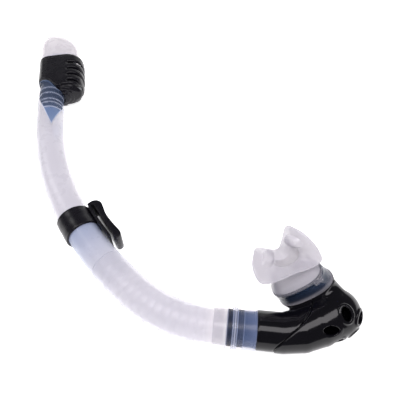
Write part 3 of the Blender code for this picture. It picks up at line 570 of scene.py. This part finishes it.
MILKY = silicone("milky_tube", WHITE, (0.36, 0.52, 0.88), (1.0, 0.99, 0.98), (0.24, 0.36))
SOFT = silicone("milky_hose", WHITE, BLUE, (1.0, 0.99, 0.985), (0.30, 0.42))
CAP = silicone("milky_cap", (0.90, 0.89, 0.96), BLUE, (1.0, 0.985, 0.975), (0.22, 0.34))
MOUTHPIECE = silicone(
    "clear_mouthpiece", (0.76, 0.74, 0.81), (0.024, 0.046, 0.10), (1.0, 0.985, 0.975), (0.16, 0.28))
CUFF = silicone("clear_cuff_rubber", (0.88, 0.89, 1.0), BLUE, (1.0, 0.985, 0.97), (0.12, 0.2))


# ------------------------------------------------------------------ tube, hose and coupling

def steps(start, end, size):
    return np.linspace(start, end, max(2, int(round((end - start) / size)) + 1))


def make_tube():
    cut = HOSE_TOP - 12
    outer = [(cut, SPIGOT_RADIUS), (HOSE_TOP + 0.1, SPIGOT_RADIUS)]
    outer += [(HOSE_TOP + 0.3, 12.9), (HOSE_TOP + 0.8, 13.5)]
    outer += [(d, tube_radius(d)) for d in steps(HOSE_TOP + 2, ARCS_END - 24, 3.0)]
    outer += [(d, tube_radius(d)) for d in steps(ARCS_END - 23, ARCS_END, 0.9)]
    outer += [(ARCS_END, 13.0, share) for share in np.linspace(0.015, 0.985, 70)]
    outer += [(ARCS_END - 0.35, 12.7, 1.0)]
    inner = [(ARCS_END - 0.35, 12.55, 1.0)]
    inner += [(ARCS_END, 12.55, share) for share in np.linspace(0.985, 0.03, 22)]
    inner += [(ARCS_END - 16, 12.5)]
    inner += [(d, tube_radius(d) - TUBE_WALL) for d in steps(HOSE_TOP + 6, ARCS_END - 20, 3.0)[::-1]]
    inner += [(HOSE_TOP, SPIGOT_RADIUS - TUBE_WALL), (cut, SPIGOT_RADIUS - TUBE_WALL)]
    verts, faces = turned(outer + inner, on_path, 112)
    tube = make_object("tube_shell", verts, faces, MILKY, "tube", ("upper_tube",), "milky_silicone")
    paint(tube, tube_milk, tube_hue)


def tongue_depth(points):
    """How far inside the adaptor's pointed tongue each point lies, as seen on the upper side."""
    away = points - TOP_POINT
    x, height = away @ TOP_X, run_of(points) - ARCS_END - TONGUE_TIP
    left, right = TONGUE_SLOPES
    return np.minimum(height - (TONGUE_X - x) * left, height - (x - TONGUE_X) * right) / 3.2


def tube_milk(points):
    """Milky along its length, clearer over the adaptor, with pale rings where a barb touches."""
    run = run_of(points) - ARCS_END
    tongue = tongue_depth(points)
    clear = ramp(tongue, -0.5, 0.5)
    milk = 0.55 + 0.07 * ramp(-run, 10.0, 40.0)
    milk = milk + (np.interp(run, (-14, 9, 13, 20, 60), (0.50, 0.40, 0.12, 0.07, 0.05)) - milk) * clear
    for ring in BARBS:
        milk = milk + 0.42 * np.exp(-((run - ring) / 0.7) ** 2) * clear
    edge = rim_height((points - TOP_POINT) @ TOP_X) - run
    milk = milk + 0.25 * np.exp(-((edge - 1.2) / 0.9) ** 2)
    return milk + 0.35 * np.exp(-(tongue / 0.35) ** 2) * ramp(20.0 - run, 0.0, 6.0)


def tube_hue(points):
    """Bluer over the adaptor, and painted blue shade below the keeper's clip."""
    run = run_of(points)
    # painted shade: bluer below and under the keeper's clip, painted on the tube itself
    below = np.interp(run, (112, 132, 146, 168, 184, 188), (0.0, 0.10, 0.26, 0.54, 0.5, 0.0))
    run = run - ARCS_END
    above = ramp(tongue_depth(points), -0.5, 0.5)
    for ring in BARBS:
        above = above * (1 - 0.75 * np.exp(-((run - ring) / 0.7) ** 2))
    return np.maximum(below, above)


def hose_relief(distance, radius, angle):
    """Shallow ribs on the outer side of the bend, none on its inner side, and a fine mould line."""
    if radius < HOSE_RADIUS - 0.1:
        return 0.0
    inside = min(1.0, max(0.0, (distance - CUFF_END - 3) / 5))
    inside *= min(1.0, max(0.0, (HOSE_TOP - 5 - distance) / 4))
    outer_side = 0.5 - 0.5 * math.cos(angle)
    wave = 0.5 - 0.5 * math.cos(2 * math.pi * (distance - CUFF_END - 3) / 6.4)
    rib = -0.75 * wave ** 2 * outer_side ** 0.7 * inside
    line = 0.16 * math.exp(-((angle - math.pi / 2) / 0.05) ** 2) * inside
    return rib + line


def make_hose():
    neck = 12.6
    outer = [(CUFF_CONE + 2.5, neck), (CUFF_END - 0.4, neck), (CUFF_END + 0.3, 13.0), (CUFF_END + 1.4, 13.7)]
    outer += [(d, HOSE_RADIUS) for d in steps(CUFF_END + 3, HOSE_TOP - 0.6, 0.65)]
    outer += [(HOSE_TOP - 0.15, 13.75), (HOSE_TOP, 13.4)]
    inner = [(HOSE_TOP, HOSE_BORE)]
    inner += [(d, HOSE_BORE) for d in steps(CUFF_CONE + 2.5, HOSE_TOP - 2, 4.0)[::-1]]
    verts, faces = turned(outer + inner, on_path, 72, relief=hose_relief)
    hose = make_object("ribbed_hose", verts, faces, SOFT, None, ("flex_hose",), "milky_silicone")
    # The hue is the painted shade below the keeper's clip, fading out down the hose's upper end.
    paint(hose, lambda p: np.interp(run_of(p), (20, 31, 40, 60), (0.22, 0.30, 0.52, 0.62)),
          lambda p: np.interp(run_of(p), (104, 132), (0.0, 0.08)))
    start = path(HOSE_TOP - 10)[0] * MM
    end = path(CUFF_END + 6)[0] * MM
    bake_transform(hose)


def make_cuff():
    cone_end, cone_radius = CUFF_END - 0.2, HOSE_RADIUS
    cone = steps(CUFF_CONE + 1.2, CUFF_END - 0.8, 1.0)[::-1]
    outer = [(CUFF_END + 0.6, 13.5), (cone_end, cone_radius)]
    outer += [(d, cone_radius + (15.3 - cone_radius) * (cone_end - d) / 8.5) for d in cone]
    outer += [(CUFF_CONE + 0.3, CUFF_RADIUS), (CUFF_CONE - 0.4, CUFF_RADIUS + 0.02)]
    outer += [(d, CUFF_RADIUS + 0.05 * math.sin(d * 2.1)) for d in steps(1.0, CUFF_CONE - 0.8, 0.3)[::-1]]
    outer += [(0.6, 15.1), (0.35, 14.6)]
    inner = [(0.35, 13.6), (CUFF_CONE - 1.0, 13.6), (CUFF_CONE + 1.2, 12.95), (CUFF_END + 0.4, 12.95)]
    verts, faces = turned(outer + inner, on_path, 72)
    cuff = make_object("clear_cuff", verts, faces, CUFF, "hose_end", ("coupling_cuff",), "clear_silicone")
    paint(cuff, cuff_milk, cuff_hue)


def coupling_run(points):
    return (points - JOINT) @ COUPLING


def cuff_milk(points):
    """Clear where the cuff grips a land, paler over a groove and along its edges."""
    stops = (
        (-1.0, 0.35), (0.45, 0.35), (0.9, 0.13), (9.2, 0.11), (9.6, 0.45), (10.0, 0.02), (13.8, 0.02),
        (14.2, 0.45), (15.4, 0.24), (15.9, 0.70), (16.4, 0.24), (17.7, 0.45), (18.2, 0.02), (21.2, 0.03),
        (21.6, 0.5), (22.4, 0.30), (40.0, 0.34))
    return np.interp(coupling_run(points), *zip(*stops))


def cuff_hue(points):
    """Blue over the dark connector, white over its grooves and on the cone."""
    stops = (
        (-1.0, 0.55), (0.45, 0.55), (0.9, 1.0), (9.2, 1.0), (9.6, 0.3), (10.0, 1.0), (13.8, 1.0), (14.2, 0.3),
        (15.4, 0.5), (15.9, 0.05), (16.4, 0.5), (17.7, 0.3), (18.2, 1.0), (21.2, 1.0), (21.8, 0.0))
    return np.interp(coupling_run(points), *zip(*stops))


def make_connector():
    """Sleeve with lands that the cuff grips, on the coupling's axis."""
    land, groove, bore = 13.3, 12.3, 9.8
    outline = [
        (21.8, 12.0), (20.9, land), (18.2, land), (17.6, groove), (14.6, groove), (14.0, land),
        (9.7, land), (9.3, 12.7), (1.4, 12.7), (1.0, land), (0.3, land), (0.3, 11.9), (-7.0, 11.9),
        (-7.0, bore), (21.8, bore)]
    verts, faces = turned(outline, straight_coupling, 64)
    make_object("hose_sleeve", verts, faces, INNER, "elbow", ("hose_connector",), "black_plastic")


def straight_coupling(distance):
    """Sections on the coupling's axis, which runs on into the elbow."""
    return JOINT + COUPLING * distance, np.array((math.sin(HEADING), -math.cos(HEADING), 0.0)), UP


# ------------------------------------------------------------------ mask keeper

def make_keeper():
    """Band on the tube and its open hook; a dummy of the tube is cut out of the hook."""
    middle = KEEPER_MIDDLE
    bore = tube_radius(middle) + 0.5
    half, edge = KEEPER_HALF, 0.9
    hollow = [(d, 15.3 - 0.12 * math.cos(d * math.pi / half) ** 2) for d in steps(-8.6, 8.6, 0.9)[::-1]]
    face = [(y, 14.4 + r) for y, r in arc(half - edge, 0.0, edge, edge, 0, 90, 4)]
    face += hollow + [(y, 14.4 + r) for y, r in arc(edge - half, 0.0, edge, edge, 90, 180, 4)]
    profile = [(middle + half, 13.95)] + [(middle + y, r) for y, r in face]
    profile += [(middle - half, bore), (middle + half, bore)]
    verts, faces = turned(profile, on_path, 80)
    band = make_object("keeper_clip", verts, faces, SATIN)
    centre, x_axis, _ = on_path(middle)
    y_axis = np.cross(UP, x_axis)

    def place(x, y, z):
        return centre + x_axis * (x + y * y / (2 * UPPER_ARC_RADIUS)) + y_axis * y + UP * z

    outline = [(13.4, -28.2), (14.8, -29.6), (16.0, -28.2), (15.9, -14.0), (15.9, 4.0)]
    outline += arc(17.4, 5.0, 1.5, 2.4, 180, 40, 7)
    outline += [
        (18.5, -2.0), (18.1, -12.0), (18.1, -20.0), (18.0, -25.6), (17.2, -28.4), (16.8, -30.6),
        (17.4, -33.2), (19.8, -33.8), (22.6, -32.6), (24.0, -29.0), (23.2, -20.0), (22.8, -8.0),
        (24.4, -1.0)]
    outline += arc(18.3, 4.2, 6.9, 6.6, 0, 110, 9)
    outline += [(13.4, 10.0)]
    hook = prism("hook", smooth_outline(outline), -half, half, place, SATIN, 0.7)
    stations = steps(middle - 45, middle + 30, 5.0)
    room_profile = [(stations[0] - 0.01, 0.001)]
    room_profile += [(d, bore) for d in stations] + [(stations[-1] + 0.01, 0.001)]
    verts, faces = turned(room_profile, on_path, 80, closed=False)
    room = make_object("keeper_room", verts, faces, SATIN)
    unite(hook, room, operation="DIFFERENCE")
    unite(band, hook)
    clean(band)
    dress(band, SATIN, "keeper", ("mask_keeper",), "black_plastic", 35)


# ------------------------------------------------------------------ dry top

def section_distance(p, inset=0.0):
    """Distance to the dry top's section, rounded on both sides and flat between them."""
    x = p[:, 0]
    side = np.where(x < 0, x / 13.15, np.maximum(x - 19.5, 0.0) / 15.1)
    half = 14.5 + 0.6 * np.clip(x / 19.5, 0, 1)
    shape = (np.abs(side) ** 2.4 + (np.abs(p[:, 2]) / half) ** 2.4) ** (1 / 2.4)
    return (shape - 1) * 14.0 + inset


def bar_distance(p, x, radius):
    return np.hypot(p[:, 0] - x, p[:, 2]) - radius


def housing_field(p):
    """Housing in its own frame: X to the chamber, Y up the tube, Z up."""
    x, y = p[:, 0], p[:, 1]
    solid = section_distance(p)
    fins = ramp(x, 17.0, 20.5) * ramp(y, 40.0, 43.5) * (1 - ramp(y, 78.0, 82.0))
    wave = 0.5 + 0.5 * np.cos(2 * math.pi * (y - FIRST_LOUVRE) / LOUVRE_PITCH)
    solid = solid + 1.1 * fins * wave ** 3
    solid = smax(solid, y - HOUSING_TOP, 1.6 + 4.5 * ramp(x, 14.0, 32.0))
    rim = (rim_height(x) - y) / math.hypot(1, RIM_SLOPE)
    solid = smax(solid, np.maximum(rim, np.minimum(x - 13.7, 41.9 - y)), 0.9)
    solid = smax(solid, np.where(x > 13.7, (foot_height(p) - y) * 0.72, -9.0), 2.0)
    groove = np.maximum(np.abs(y - (HOUSING_TOP - 3.2)) - 0.25, -section_distance(p) - 0.35)
    solid = np.maximum(solid, -groove)
    for index in range(4):
        height = FIRST_LOUVRE + LOUVRE_PITCH * index
        slot = np.maximum(np.abs(y - height) - 1.5, 19.4 - x)
        slot = smax(slot, -bar_distance(p, CHAMBER_X, 9.4), 0.5)
        solid = smax(solid, -slot, 1.4)
    upper_room = np.maximum(section_distance(p, 1.9), 77.0 - y)
    hollow = np.minimum(upper_room, bar_distance(p, 0.0, 11.4))
    hollow = np.minimum(hollow, bar_distance(p, CHAMBER_X, 8.2))
    return np.maximum(solid, -hollow)


def make_housing():
    net_object("valve_shell", housing_field, (-15, 33, -17), (37, 94, 17), 0.6, top_place,
               SATIN, "tube", ("valve_housing",), "black_plastic", 50)


def foot_height(p):
    """Lowest point of the chamber, sloping down to the tube and rounded underneath."""
    stops = (
        (12, 34.5), (16, 34.5), (20, 35.0), (24, 36.4), (27, 38.6), (30, 42.4), (32, 46.6), (33.5, 52.0),
        (36, 65.0))
    low = np.interp(p[:, 0], *zip(*stops))
    return low + 13.0 * (1 - np.sqrt(np.clip(1 - (p[:, 2] / 16.0) ** 2, 0, 1)))


def chamber_field(p):
    """Cup below the housing: ribbed, rounded, and sloping down to the tube."""
    x, y = p[:, 0], p[:, 1]
    ribs = 0.2 * np.sin(2 * math.pi * (y + 0.12 * x) / 1.7) * ramp(41.0 - y, 0.0, 2.0)
    solid = section_distance(p, 0.7)
    solid = smax(solid, (foot_height(p) - y) * 0.72, 4.0) + ribs
    solid = smax(solid, 14.1 - np.hypot(x, p[:, 2]), 0.8)
    solid = smin(solid, smax(bar_distance(p, CHAMBER_X, 8.6), 37.6 - y, 5.0), 1.5)
    solid = smax(solid, y - 41.6, 0.6)
    room = smax(bar_distance(p, CHAMBER_X, 7.7), 38.5 - y, 5.0)
    return np.maximum(solid, -room)


def make_chamber():
    net_object("chamber_cup", chamber_field, (11, 22, -17), (37, 44, 17), 0.42, top_place,
               SATIN, "tube", ("chamber_base",), "black_plastic", 60)


def make_float():
    """Float with its stem, shorter at its foot than the CAD's so that it clears the cup."""
    outline = [(39.6, 1.5), (39.8, 4.0), (40.7, 5.4), (42.2, 6.4), (44.5, 7.1), (47.0, 7.4), (69.0, 7.4),
               (71.1, 6.5), (72.0, 4.2), (72.1, 1.5), (STEM_TOP - 0.6, 1.5), (STEM_TOP, 0.5)]
    rings = []
    for height, radius in outline:
        middle = TOP_POINT + TOP_X * CHAMBER_X + TOP_Y * height
        rings.append([middle + TOP_X * a + UP * b for a, b in oval(radius, radius, 2.0, 40)])
    verts, faces = rings_mesh(rings)
    make_object("valve_float", verts, faces, FLOAT, "float", ("float",), "float_grey")


def make_adaptor():
    """Barbed insert with a pointed tongue on the side that is seen."""
    sides, rows, bore, shoulder = 72, 150, 7.9, 34.0
    left, right = TONGUE_SLOPES
    rings = []
    for wall in (0, 1):
        for row in range(rows):
            ring = []
            for i in range(sides):
                angle = 2 * math.pi * i / sides
                c, z = math.cos(angle), math.sin(angle)
                low = shoulder
                if z > 0.0:
                    x = 12.2 * c
                    edge = max(TONGUE_TIP + (TONGUE_X - x) * left, TONGUE_TIP + (x - TONGUE_X) * right)
                    low = min(max(edge, TONGUE_TIP), shoulder)
                share = row / (rows - 1) if wall == 0 else 1 - row / (rows - 1)
                height = low + (SEAT_TOP - low) * share
                radius = insert_radius(height) if wall == 0 else bore
                ring.append(TOP_POINT + TOP_X * radius * c + TOP_Y * height + UP * radius * z)
            rings.append(ring)
    verts, faces = rings_mesh(rings, closed=True)
    make_object("barbed_insert", verts, faces, INSERT, "tube", ("top_adaptor",), "black_plastic")


def insert_radius(height):
    """Outer radius of the insert: barbs in the tube, a plug in the housing, and the seat's lip."""
    if height > 74.0:
        return 9.4 - 0.8 * max(0.0, (height - SEAT_TOP + 1.2) / 1.2)
    barb = sum(math.exp(-((height - ring) / 0.9) ** 2) for ring in BARBS)
    plug = ramp(height, 48.0, 49.5) * (1 - ramp(height, 73.5, 74.0))
    return 11.5 + 0.7 * min(1.0, barb) * (1 - plug) - 0.6 * plug


def cap_level(share, inset, count):
    """One level of the cap: upright on the tube's side, sloping away over the chamber."""
    low, top = HOUSING_TOP + 0.3, CAP_TOP - inset
    level = low + (top - low) * math.sin(share * math.pi / 2)
    at = low + (level - low) * (CAP_TOP - low) / (top - low)
    tube_side = ((91, -13.2), (124, -12.8), (131, -11.6), (138, -8.8), (141.3, -5.6), (CAP_TOP, -2.0))
    chamber_side = (
        (91, 29.2), (110, 28.8), (115, 28.0), (120, 26.6), (126, 23.4), (133, 17.4), (138, 11.2),
        (141.3, 5.0), (CAP_TOP, -1.2))
    left = np.interp(at, *zip(*tube_side)) + inset
    right = np.interp(at, *zip(*chamber_side)) - inset
    depth = max(0.4, 13.6 * math.cos(share * math.pi / 2) ** 0.8 - inset)
    half = max(0.3, (right - left) / 2)
    return [((left + right) / 2 + x, level, z) for x, z in oval(half, depth, 2.3, count)]


def make_cap():
    """Thin dome: its outer and inner levels join at the foot, and each has a crown of its own."""
    count = 96
    shares = np.concatenate((np.linspace(0, 0.9, 40), (0.93, 0.96, 0.98, 0.992)))
    outer = [cap_level(s, 0.0, count) for s in shares]
    inner = [cap_level(s, CAP_WALL, count) for s in shares[::-1] if s < 0.985]
    rings = outer + inner
    faces = []
    for row in range(len(rings)):
        low, high = row * count, ((row + 1) % len(rings)) * count
        if row == len(outer) - 1:
            faces += [tuple(range(low, low + count)), tuple(range(high, high + count))]
            continue
        for i in range(count):
            j = (i + 1) % count
            faces.append((low + i, low + j, high + j, high + i))
    verts = top_place(np.array([p for ring in rings for p in ring]))
    cap = make_object("dome_cap", verts, faces, CAP, "tube", ("top_cap",), "milky_silicone")
    # The hue is a painted bluish shade at the cap's foot, where it sits on the housing's rim.
    paint(cap, cap_milk, lambda p: 0.25 * (1 - ramp((p - TOP_POINT) @ TOP_Y, 91.0, 96.0)))


def cap_milk(points):
    """Milkier towards its foot."""
    height = (points - TOP_POINT) @ TOP_Y
    return 0.42 + 0.10 * (1 - ramp(height, 92.0, 104.0))


# ------------------------------------------------------------------ elbow

def seam_side(p):
    """Signed distance across the seam, which runs in a slow S over the elbow."""
    q = p - SEAM_POINT
    along = q @ SEAM_WAY
    swing = 2.6 * np.sin(along / 40.0 * math.pi) * ramp(q[:, 2], -6, 10)
    crest = 4.0 * ramp(q[:, 2], 2, 12) * np.exp(-((along - 8) / 9) ** 2)
    return q @ SEAM_NORMAL + swing + crest


def port_axes(p):
    """Distances from the port: across it, to its near side, and out towards the mouth."""
    q = p - PORT
    return q @ MOUTH_WIDE, q @ MOUTH_NEAR, q @ MOUTH


def oval_distance(x, y, half_x, half_y, power):
    """Roughly the distance to an oval bar that is wider in x."""
    shape = ((np.abs(x) / half_x) ** power + (np.abs(y) / half_y) ** power) ** (1 / power)
    return (shape - 1) * np.minimum(half_x, half_y)


def elbow_form(p):
    """Inlet, bulb and oval neck, run together with soft fillets and cut off at port and joint."""
    bend = COUPLING * -19.0
    d = taper(p, COUPLING * 8.0, bend, 14.4, 14.5)
    d = np.minimum(d, taper(p, bend, INLET_BEND, 14.5, 15.5))
    d = np.minimum(d, taper(p, INLET_BEND, BULB_BEND, 15.5, 17.2))
    d = np.minimum(d, taper(p, BULB_BEND, BULB, 17.2, BULB_RADIUS))
    x, y, z = port_axes(p)
    levels = (-19.0, -11.0, 0.0)
    half_x = np.interp(z, levels, (12.0, 20.0, 22.4))
    half_y = np.interp(z, levels, (11.0, 12.6, 11.6))
    neck = np.maximum(oval_distance(x, y, half_x, half_y, 2.5), np.maximum(z, -19.0 - z))
    d = smin(d, neck, 6.0)
    over_port = np.maximum(-z, oval_distance(x, y, 27.0, 16.0, 2.5))
    d = smax(d, -over_port, 0.8)
    return np.maximum(d, p @ COUPLING)


def vent_frames():
    """Outward, long and short axes of each vent, in a ring round the bulb's axis."""
    a = unit(np.cross(VENT_AXIS, UP))
    b = np.cross(VENT_AXIS, a)
    found = []
    for index in range(VENT_COUNT):
        turn = VENT_START + 2 * math.pi * index / VENT_COUNT
        out = a * math.cos(turn) + b * math.sin(turn)
        direction = VENT_AXIS * math.cos(VENT_POLAR) + out * math.sin(VENT_POLAR)
        long_axis = unit(out - direction * (out @ direction))
        found.append((direction, long_axis, np.cross(direction, long_axis)))
    return found


VENTS = vent_frames()


def vent_distance(p, half_long, half_short):
    """Distance to the nearest of the oval wells that run into the bulb."""
    best = np.full(len(p), 99.0)
    for direction, long_axis, short_axis in VENTS:
        q = p - BULB
        shape = np.hypot((q @ long_axis) / half_long, (q @ short_axis) / half_short)
        d = (shape - 1) * half_short
        best = np.minimum(best, np.maximum(d, 4.0 - q @ direction))
    return best


def elbow_shell(p):
    """Hollow wall of the elbow with its port spigot; the mouth and the inlet are open."""
    outer = elbow_form(p)
    x, y, z = port_axes(p)
    spigot = np.maximum(oval_distance(x, y, 19.9, 9.2, 2.6), np.maximum(z - 13.4, -6.0 - z))
    bore = np.maximum(oval_distance(x, y, 16.6, 5.6, 2.6), -16.0 - z)
    solid = np.minimum(outer, spigot)
    hollow = np.minimum(outer + 2.1, bore)
    inlet = np.maximum(taper(p, COUPLING * 9.0, COUPLING * -12.0, 12.2, 12.2), -12.0 - p @ COUPLING)
    return np.maximum(solid, -np.minimum(hollow, inlet))


def body_field(p):
    return smax(elbow_shell(p), seam_side(p) + 0.12, 0.35)


def cover_field(p):
    """Vented cover: stands a little proud of the body, with raised rims round the vents."""
    form = elbow_form(p)
    outer = form - 0.55 * ramp(seam_side(p), 0.1, 1.2)
    radial = np.linalg.norm(p - BULB, axis=1)
    lip = np.maximum(np.abs(radial - BULB_RADIUS - 0.4) - 0.9, vent_distance(p, 7.3, 5.6))
    outer = smin(outer, lip, 1.0)
    wall = np.maximum(outer, -(form + 2.0))
    wall = smax(wall, -vent_distance(p, 5.1, 3.4), 0.9)
    return smax(wall, 0.12 - seam_side(p), 0.5)


def from_joint(points):
    return points + JOINT


def make_elbow():
    net_object("elbow_shell", body_field, (-3, -22, -16.5), (83, 48, 40), 0.7, from_joint,
               GLOSS, "elbow", ("elbow_body",), "gloss_black")
    net_object("vent_cover", cover_field, (5, -24, -18.5), (83, 34, 30), 0.6, from_joint,
               GLOSS, "elbow", ("purge_cover",), "gloss_black")


# ------------------------------------------------------------------ mouthpiece

def mouth_ring(half_width, half_height, along, count=64):
    """Ring of the collar, a distance out from the port."""
    centre = JOINT + PORT + MOUTH * along
    return [centre + MOUTH_WIDE * x + MOUTH_NEAR * y for x, y in oval(half_width, half_height, 2.6, count)]


def flange_point(x, y, lift):
    """Point on the flange, which arches round the teeth; lift is square to its face.

    The near halves of both lobes lean out, so that the right lobe faces the camera.
    """
    near = (y + math.hypot(y, 4.0)) / 2 - 2.0
    lean = (FLANGE_WIDE + FLANGE) * RIGHT_LEAN * near * ramp(-x, -3.0, 9.0)
    lean = lean + FLANGE_WIDE * LEFT_LEAN * near * ramp(x, 2.0, 12.0)
    rise = FLANGE_SPREAD * (x / FLANGE_HALF_WIDTH) ** 2 * (1.0 if x > 0 else RIGHT_LOBE_SHARE)
    square = unit(FLANGE - FLANGE_WIDE * 2 * FLANGE_SPREAD * x / FLANGE_HALF_WIDTH ** 2)
    return FLANGE_CENTRE + FLANGE_WIDE * x + FLANGE_NEAR * y + FLANGE * rise + square * lift + lean


def flange_ring(share, lift):
    """Ring of the flange between its bore (0) and its rounded rim (1)."""
    inner = oval(9.0, 4.5, 2.4, 64)
    rim = oval(FLANGE_HALF_WIDTH, FLANGE_HALF_HEIGHT, 2.35, 64)
    return [flange_point(*(a + (b - a) * share), lift) for a, b in zip(inner, rim)]


def between(low, high, share):
    return [a + (b - a) * share for a, b in zip(low, high)]


def make_mouthpiece():
    """Collar, neck, flange and bore as one skin, and two bite tabs."""
    collar = (
        (20.3, 9.6, 0.35), (21.9, 11.1, 0.3), (22.3, 11.4, 0.7), (22.3, 11.4, 1.2), (22.0, 11.1, 1.6),
        (21.4, 10.9, 5.5), (20.8, 10.7, 9.5), (20.4, 10.5, 12.6), (20.6, 10.7, 13.4), (20.6, 10.7, 14.0),
        (19.4, 9.9, 14.4), (19.1, 9.8, 16.6), (19.5, 10.2, 17.0), (19.0, 9.9, 17.8), (18.2, 9.2, 18.4))
    flange = (
        (0.22, -2.6), (0.45, -1.0), (0.7, -0.2), (0.92, 0.0), (0.99, 0.1), (1.0, 0.9), (0.99, 1.7),
        (0.92, 1.8), (0.7, 1.5), (0.45, 1.0), (0.18, 0.6), (0.0, -0.4))
    collar_rings = [mouth_ring(*section) for section in collar]
    flange_rings = [flange_ring(*section) for section in flange]
    bore = mouth_ring(14.0, 6.0, COLLAR + 1)
    rings = collar_rings + [between(collar_rings[-1], flange_rings[0], t) for t in (0.33, 0.66)]
    rings += flange_rings + [between(flange_rings[-1], bore, t) for t in (0.3, 0.7)]
    rings += [bore, mouth_ring(18.4, 8.8, 16.0), mouth_ring(20.1, 9.5, 13.8)]
    verts, faces = rings_mesh(rings, closed=True)
    piece = make_object("soft_mouthpiece", verts, faces, MOUTHPIECE)
    tab = ((0.5, 2.4, 5.8), (2.2, 2.0, 5.4), (4.2, 1.9, 5.2), (4.9, 1.7, 4.9), (5.3, 1.1, 4.3))
    for side in (-1, 1):
        rows = []
        for lift, half_width, half_height in tab:
            section = oval(half_width, half_height, 3.0, 32)
            rows.append([flange_point(side * TAB_X + x, y, lift) for x, y in section])
        unite(piece, make_object("bite_tab", *rings_mesh(rows), MOUTHPIECE))
    clean(piece)
    dress(piece, MOUTHPIECE, "elbow", ("mouthpiece",), "clear_silicone", 45)
    paint(piece, mouthpiece_milk, mouthpiece_hue)


def collar_rise(points):
    return (points - JOINT - PORT) @ MOUTH


def mouthpiece_milk(points):
    """Covers most of what is behind, least at the collar's foot."""
    stops = (
        (0.0, 0.40), (1.6, 0.40), (2.2, 0.74), (16.4, 0.74), (17.4, 0.70), (18.0, 0.66), (22.0, 0.60),
        (30.0, 0.66))
    return np.interp(collar_rise(points), *zip(*stops))


def mouthpiece_hue(points):
    """Dark blue collar, as the elbow's spigot makes it look, and a white neck and flange."""
    stops = ((0.0, 0.1), (1.6, 0.3), (2.2, 1.0), (16.4, 1.0), (17.2, 0.0))
    return np.interp(collar_rise(points), *zip(*stops))


def make_tie():
    """Band in the collar's groove, with a head of four ribs."""
    sections = (
        (19.55, 10.2, 14.55), (20.4, 10.9, 14.55), (20.6, 11.1, 14.9), (20.4, 10.9, 16.2), (19.9, 10.5, 16.5),
        (19.4, 10.15, 16.5))
    verts, faces = rings_mesh([mouth_ring(*section, count=96) for section in sections], closed=True)
    band = make_object("collar_tie", verts, faces, MOUTHPIECE)
    heads = []
    for index in range(4):
        across = MOUTH_WIDE * (-12.6 - 1.7 * index) + MOUTH_NEAR * (10.8 - 0.42 * index)
        rows = []
        for along, grow in ((13.9, 0.0), (14.3, 0.35), (16.7, 0.35), (17.1, 0.0)):
            centre = JOINT + PORT + MOUTH * along + across
            section = oval(0.55 + grow, 1.2 + grow, 3.0, 16)
            rows.append([centre + MOUTH_WIDE * a + MOUTH_NEAR * b for a, b in section])
        heads.append(make_object("tie_rib", *rings_mesh(rows), MOUTHPIECE))
    unite(band, *heads)
    clean(band)
    dress(band, MOUTHPIECE, "elbow", ("mouthpiece_tie",), "clear_silicone", 40)
    paint(band, steady(0.30), steady(0.4))


# ------------------------------------------------------------------ floor, light and camera

def make_stage():
    mesh = bpy.data.meshes.new("floor")
    mesh.from_pydata([(-4, -4, 0), (4, -4, 0), (4, 4, 0), (-4, 4, 0)], [], [(0, 1, 2, 3)])
    floor = bpy.data.objects.new("floor", mesh)
    bpy.context.scene.collection.objects.link(floor)
    floor.location = (0.0, 0.0, -0.0002)
    material, tree, shader = nodes_of("pale_floor")
    colour = shades(tree, noise(tree, 1.5), (0.93, 0.93, 0.93), (0.95, 0.95, 0.95))
    tree.links.new(colour, shader.inputs["Base Color"])
    shader.inputs["Roughness"].default_value = 0.9
    shader.inputs["Specular IOR Level"].default_value = 0.1
    shader.inputs["Emission Color"].default_value = (1, 1, 1, 1)
    shader.inputs["Emission Strength"].default_value = 0.85
    mesh.materials.append(material)


def make_light(name, place, target, size_x, size_y, power, color=(1, 1, 1)):
    data = bpy.data.lights.new(name, "AREA")
    data.shape = "RECTANGLE"
    data.size, data.size_y = size_x, size_y
    data.energy = power
    data.color = color
    light = bpy.data.objects.new(name, data)
    bpy.context.scene.collection.objects.link(light)
    light.location = place
    light.rotation_euler = (Vector(target) - Vector(place)).to_track_quat("-Z", "Y").to_euler()


def make_lights():
    world = bpy.data.worlds.new("studio")
    bpy.context.scene.world = world
    world.use_nodes = True
    background = world.node_tree.nodes["Background"]
    background.inputs["Color"].default_value = (0.97, 0.97, 1.0, 1)
    background.inputs["Strength"].default_value = 0.16
    make_light("overhead_box", (0.10, -0.36, 1.2), (0.08, -0.12, 0.0), 1.4, 0.55, 11.5, (1.0, 0.965, 1.0))
    make_light("left_box", (-1.1, 0.5, 0.9), (0.0, 0.0, 0.0), 0.4, 0.9, 3.0)
    make_light("back_box", (0.0, 1.5, 0.40), (0.0, 0.0, 0.05), 2.2, 0.6, 3.6)


CAMERA_LENS = 40.95
CAMERA_ELEVATION = math.radians(54)
CAMERA_DISTANCE = 0.400
CAMERA_AIM = JOINT * MM - np.array((0.0410, -0.1169, 0.0))


def make_camera():
    data = bpy.data.cameras.new("camera")
    data.sensor_width = 36.0
    data.lens = CAMERA_LENS
    data.clip_start = 0.01
    camera = bpy.data.objects.new("camera", data)
    bpy.context.scene.collection.objects.link(camera)
    back = Vector((0.0, -math.cos(CAMERA_ELEVATION), math.sin(CAMERA_ELEVATION)))
    camera.location = Vector(CAMERA_AIM) + back * CAMERA_DISTANCE
    camera.rotation_mode = "QUATERNION"
    camera.rotation_quaternion = (-back).to_track_quat("-Z", "Y")
    bpy.context.scene.camera = camera
    bpy.context.scene.view_settings.view_transform = "Standard"


def dress_nodes():
    """Materials of the CAD nodes that stay in view."""
    looks = {
        "float_lever": INNER, "lever_bracket": INNER, "lever_pin": PIN, "valve_seal": SEAL,
        "seal_rivet": SEAL, "purge_seat": INNER, "purge_valve": SEAL}
    for name, look in looks.items():
        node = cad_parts[name]
        if node.material_slots:
            node.material_slots[0].material = look
        else:
            node.data.materials.append(look)


make_tube()
make_hose()
make_cuff()
make_connector()
make_keeper()
make_housing()
make_chamber()
make_float()
make_adaptor()
make_cap()
make_elbow()
make_mouthpiece()
make_tie()
dress_nodes()
make_stage()
make_lights()
make_camera()
